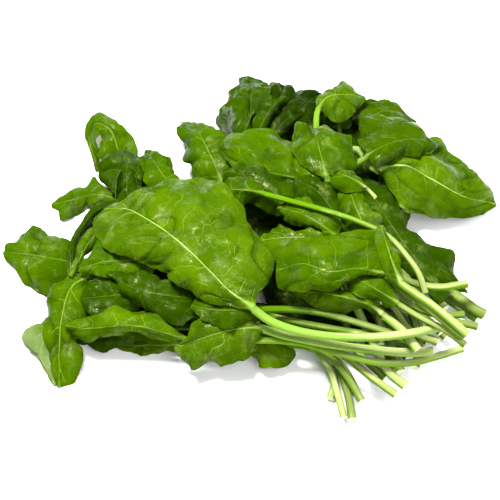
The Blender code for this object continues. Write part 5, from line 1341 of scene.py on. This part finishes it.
def cut_material():
    """A freshly cut stalk: moist and nearly white, with greener strands a millimetre apart."""
    material, tree = empty_material("cut_stalk")
    place = add(tree, "ShaderNodeTexCoord", output="Object")
    strands = add(tree, CELLS, {"Vector": place, "Scale": 1 / MM}, "Distance")
    strands = add(tree, RANGE, {0: strands, 1: 0.1, 2: 0.5}, **SMOOTH)
    skin = add(tree, MIX, {0: strands, 6: color("94A264"), 7: color("B8BE9E")}, MIXED, **COLORS)
    surface = add(tree, "ShaderNodeBsdfPrincipled", {"Base Color": skin, "Roughness": 0.35})
    add(tree, "ShaderNodeOutputMaterial", {"Surface": surface})
    return material


def floor_material():
    """Matt white paper: plain, with a faint unevenness a few centimetres wide."""
    material, tree = empty_material("white_paper")
    place = add(tree, "ShaderNodeTexCoord", output="Object")
    uneven = add(tree, NOISE, {"Vector": place, "Scale": 1 / 0.05}, "Fac")
    skin = add(tree, MIX, {0: uneven, 6: color("F0F0F0"), 7: color("F4F4F4")}, MIXED, **COLORS)
    surface = add(tree, "ShaderNodeBsdfPrincipled", {"Base Color": skin, "Roughness": 0.9})
    add(tree, "ShaderNodeOutputMaterial", {"Surface": surface})
    return material


# The finishes. Each has its name, the bright and dark of the upper face, the rib, the veins, the pale top and
# green sides of the stalk (the top with a painted highlight), how far the rib shows, how rough the wax is, and
# the leaves that have it. A leaf that isn't named has the first, a full-grown one. Broad ones are paler with a
# clear rib, young ones yellower, and the shaded, deep-shade and darkest-shade ones are darker copies with a
# faint rib, painted shade for leaves that lie in shade; the darkest, for the innermost leaves, is nearly
# black.
FINISHES = (
    ("waxy_full_leaf", "3A5600", "2D4900", "789236", "6C8C14", "8C905A", "486C04", 0.45, 0.26, ()),
    ("waxy_broad_leaf", "405C00", "334F00", "8AA44C", "84A030", "9CA270", "66862E", 0.95, 0.25,
     ("broad_front", "right_large", "lower_broad")),
    ("waxy_young_leaf", "415D00", "345000", "86A040", "7A9A1E", "989E68", "587A18", 0.45, 0.25,
     ("lobed", "long_curl", "top_hood", "droop", "tip_beneath", "front_small", "centre_pale",
      "folded_strip")),
    # Painted shade: these three are darker copies of the leaf finish, for leaves that lie in shade.
    ("waxy_shaded_leaf", "344E00", "274000", "6A8430", "5C7A0C", "747C46", "3C5C02", 0.4, 0.26,
     ("right_upper", "inner_gloss", "upper_right")),
    ("waxy_old_leaf", "284000", "1C3300", "587626", "4A680A", "6E783E", "3A5A04", 0.35, 0.28,
     ("back_roll", "back_wedge", "back_slim", "right_dark", "inner_dark", "left_dark_arch", "edge_curve",
      "dark_beneath", "tucked_left", "centre_left", "centre_back", "top_small", "small_cup")),
    ("waxy_inner_leaf", "182A00", "0F1E00", "3C5614", "2E4A04", "767E4A", "385804", 0.35, 0.34,
     DEEP_LEAVES + ("back_fold", "back_strip", "back_dark", "back_edge")),
)


def build_leaves():
    """Every leaf as a fine piece in place of the frame's leaf. Returns the middle of the drawing."""
    cut = cut_material()
    made = [leaf_material(*row[:-1]) for row in FINISHES]
    finishes = {name: finish for finish, row in zip(made, FINISHES) for name in row[-1]}
    coarse_pile = np.full((2 * HALF_ACROSS + 1, 2 * HALF_UP + 1), EMPTY)
    fine_pile = coarse_pile.copy()
    laid, pieces = [], []
    for number, drawn in enumerate(DRAWING):
        points, faces, nodes, links, coarse = leaf_body(drawn)
        views = seen(points)
        moved = come_to_rest(views, faces, nodes, links, coarse_pile)
        views[:, 2] += moved
        laid.append(unseen(views))
        lift = np.zeros(nodes.max() + 1)
        lift[nodes] = moved
        stalk_count = len(coarse["stalk_shares"])
        coarse["stalk_lift"] = lift[:stalk_count]
        coarse["blade_lift"] = lift[stalk_count:].reshape(len(coarse["rows"]), len(coarse["strips"]))
        pieces.append((drawn["name"], fine_leaf(drawn, number, coarse, fine_pile)))
    everything = np.concatenate(laid)
    centre = (everything.min(axis=0) + everything.max(axis=0)) / 2
    centre[2] = 0.0
    for name, (points, quads, triangles, values, first_cut) in pieces:
        mesh = make_mesh(name + "_fine", points - centre, quads, triangles, values, first_cut)
        mesh.materials.append(finishes.get(name, made[0]))
        mesh.materials.append(cut)
        piece = bpy.data.objects.new(name + "_fine", mesh)
        bpy.context.scene.collection.objects.link(piece)
        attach(piece, "root")
        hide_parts(name)
    return centre


def light(name, place, size, power):
    """A round white lamp that shines on the middle of the table."""
    lamp = bpy.data.lights.new(name, "AREA")
    lamp.shape = "DISK"
    lamp.size = size
    lamp.energy = power
    thing = bpy.data.objects.new(name, lamp)
    thing.location = place
    thing.rotation_euler = Vector(place).to_track_quat("Z", "Y").to_euler()
    bpy.context.scene.collection.objects.link(thing)


def main():
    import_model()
    centre = build_leaves()

    corners = [(x * FLOOR_REACH, y * FLOOR_REACH, 0) for x, y in ((-1, -1), (1, -1), (1, 1), (-1, 1))]
    sheet = bpy.data.meshes.new("floor")
    sheet.from_pydata(corners, [], [(0, 1, 2, 3)])
    sheet.materials.append(floor_material())
    floor = bpy.data.objects.new("floor", sheet)
    bpy.context.scene.collection.objects.link(floor)

    camera = bpy.data.objects.new("camera", bpy.data.cameras.new("camera"))
    camera.data.sensor_width = SENSOR_WIDTH
    camera.data.lens = SENSOR_WIDTH * SIGHT_DISTANCE / PICTURE_WIDTH
    camera.location = (SIGHT_POINT - centre) * MM
    camera.rotation_euler = (math.pi / 2 - SIGHT_ANGLE, 0.0, 0.0)
    bpy.context.scene.collection.objects.link(camera)
    bpy.context.scene.camera = camera

    for lamp in LAMPS:
        light(*lamp)
    world = bpy.data.worlds.new("world")
    world.use_nodes = True
    background = world.node_tree.nodes["Background"]
    background.inputs["Color"].default_value = (1.0, 1.0, 1.0, 1.0)
    background.inputs["Strength"].default_value = SKY_STRENGTH
    bpy.context.scene.world = world
    bpy.context.scene.view_settings.view_transform = "Standard"


main()
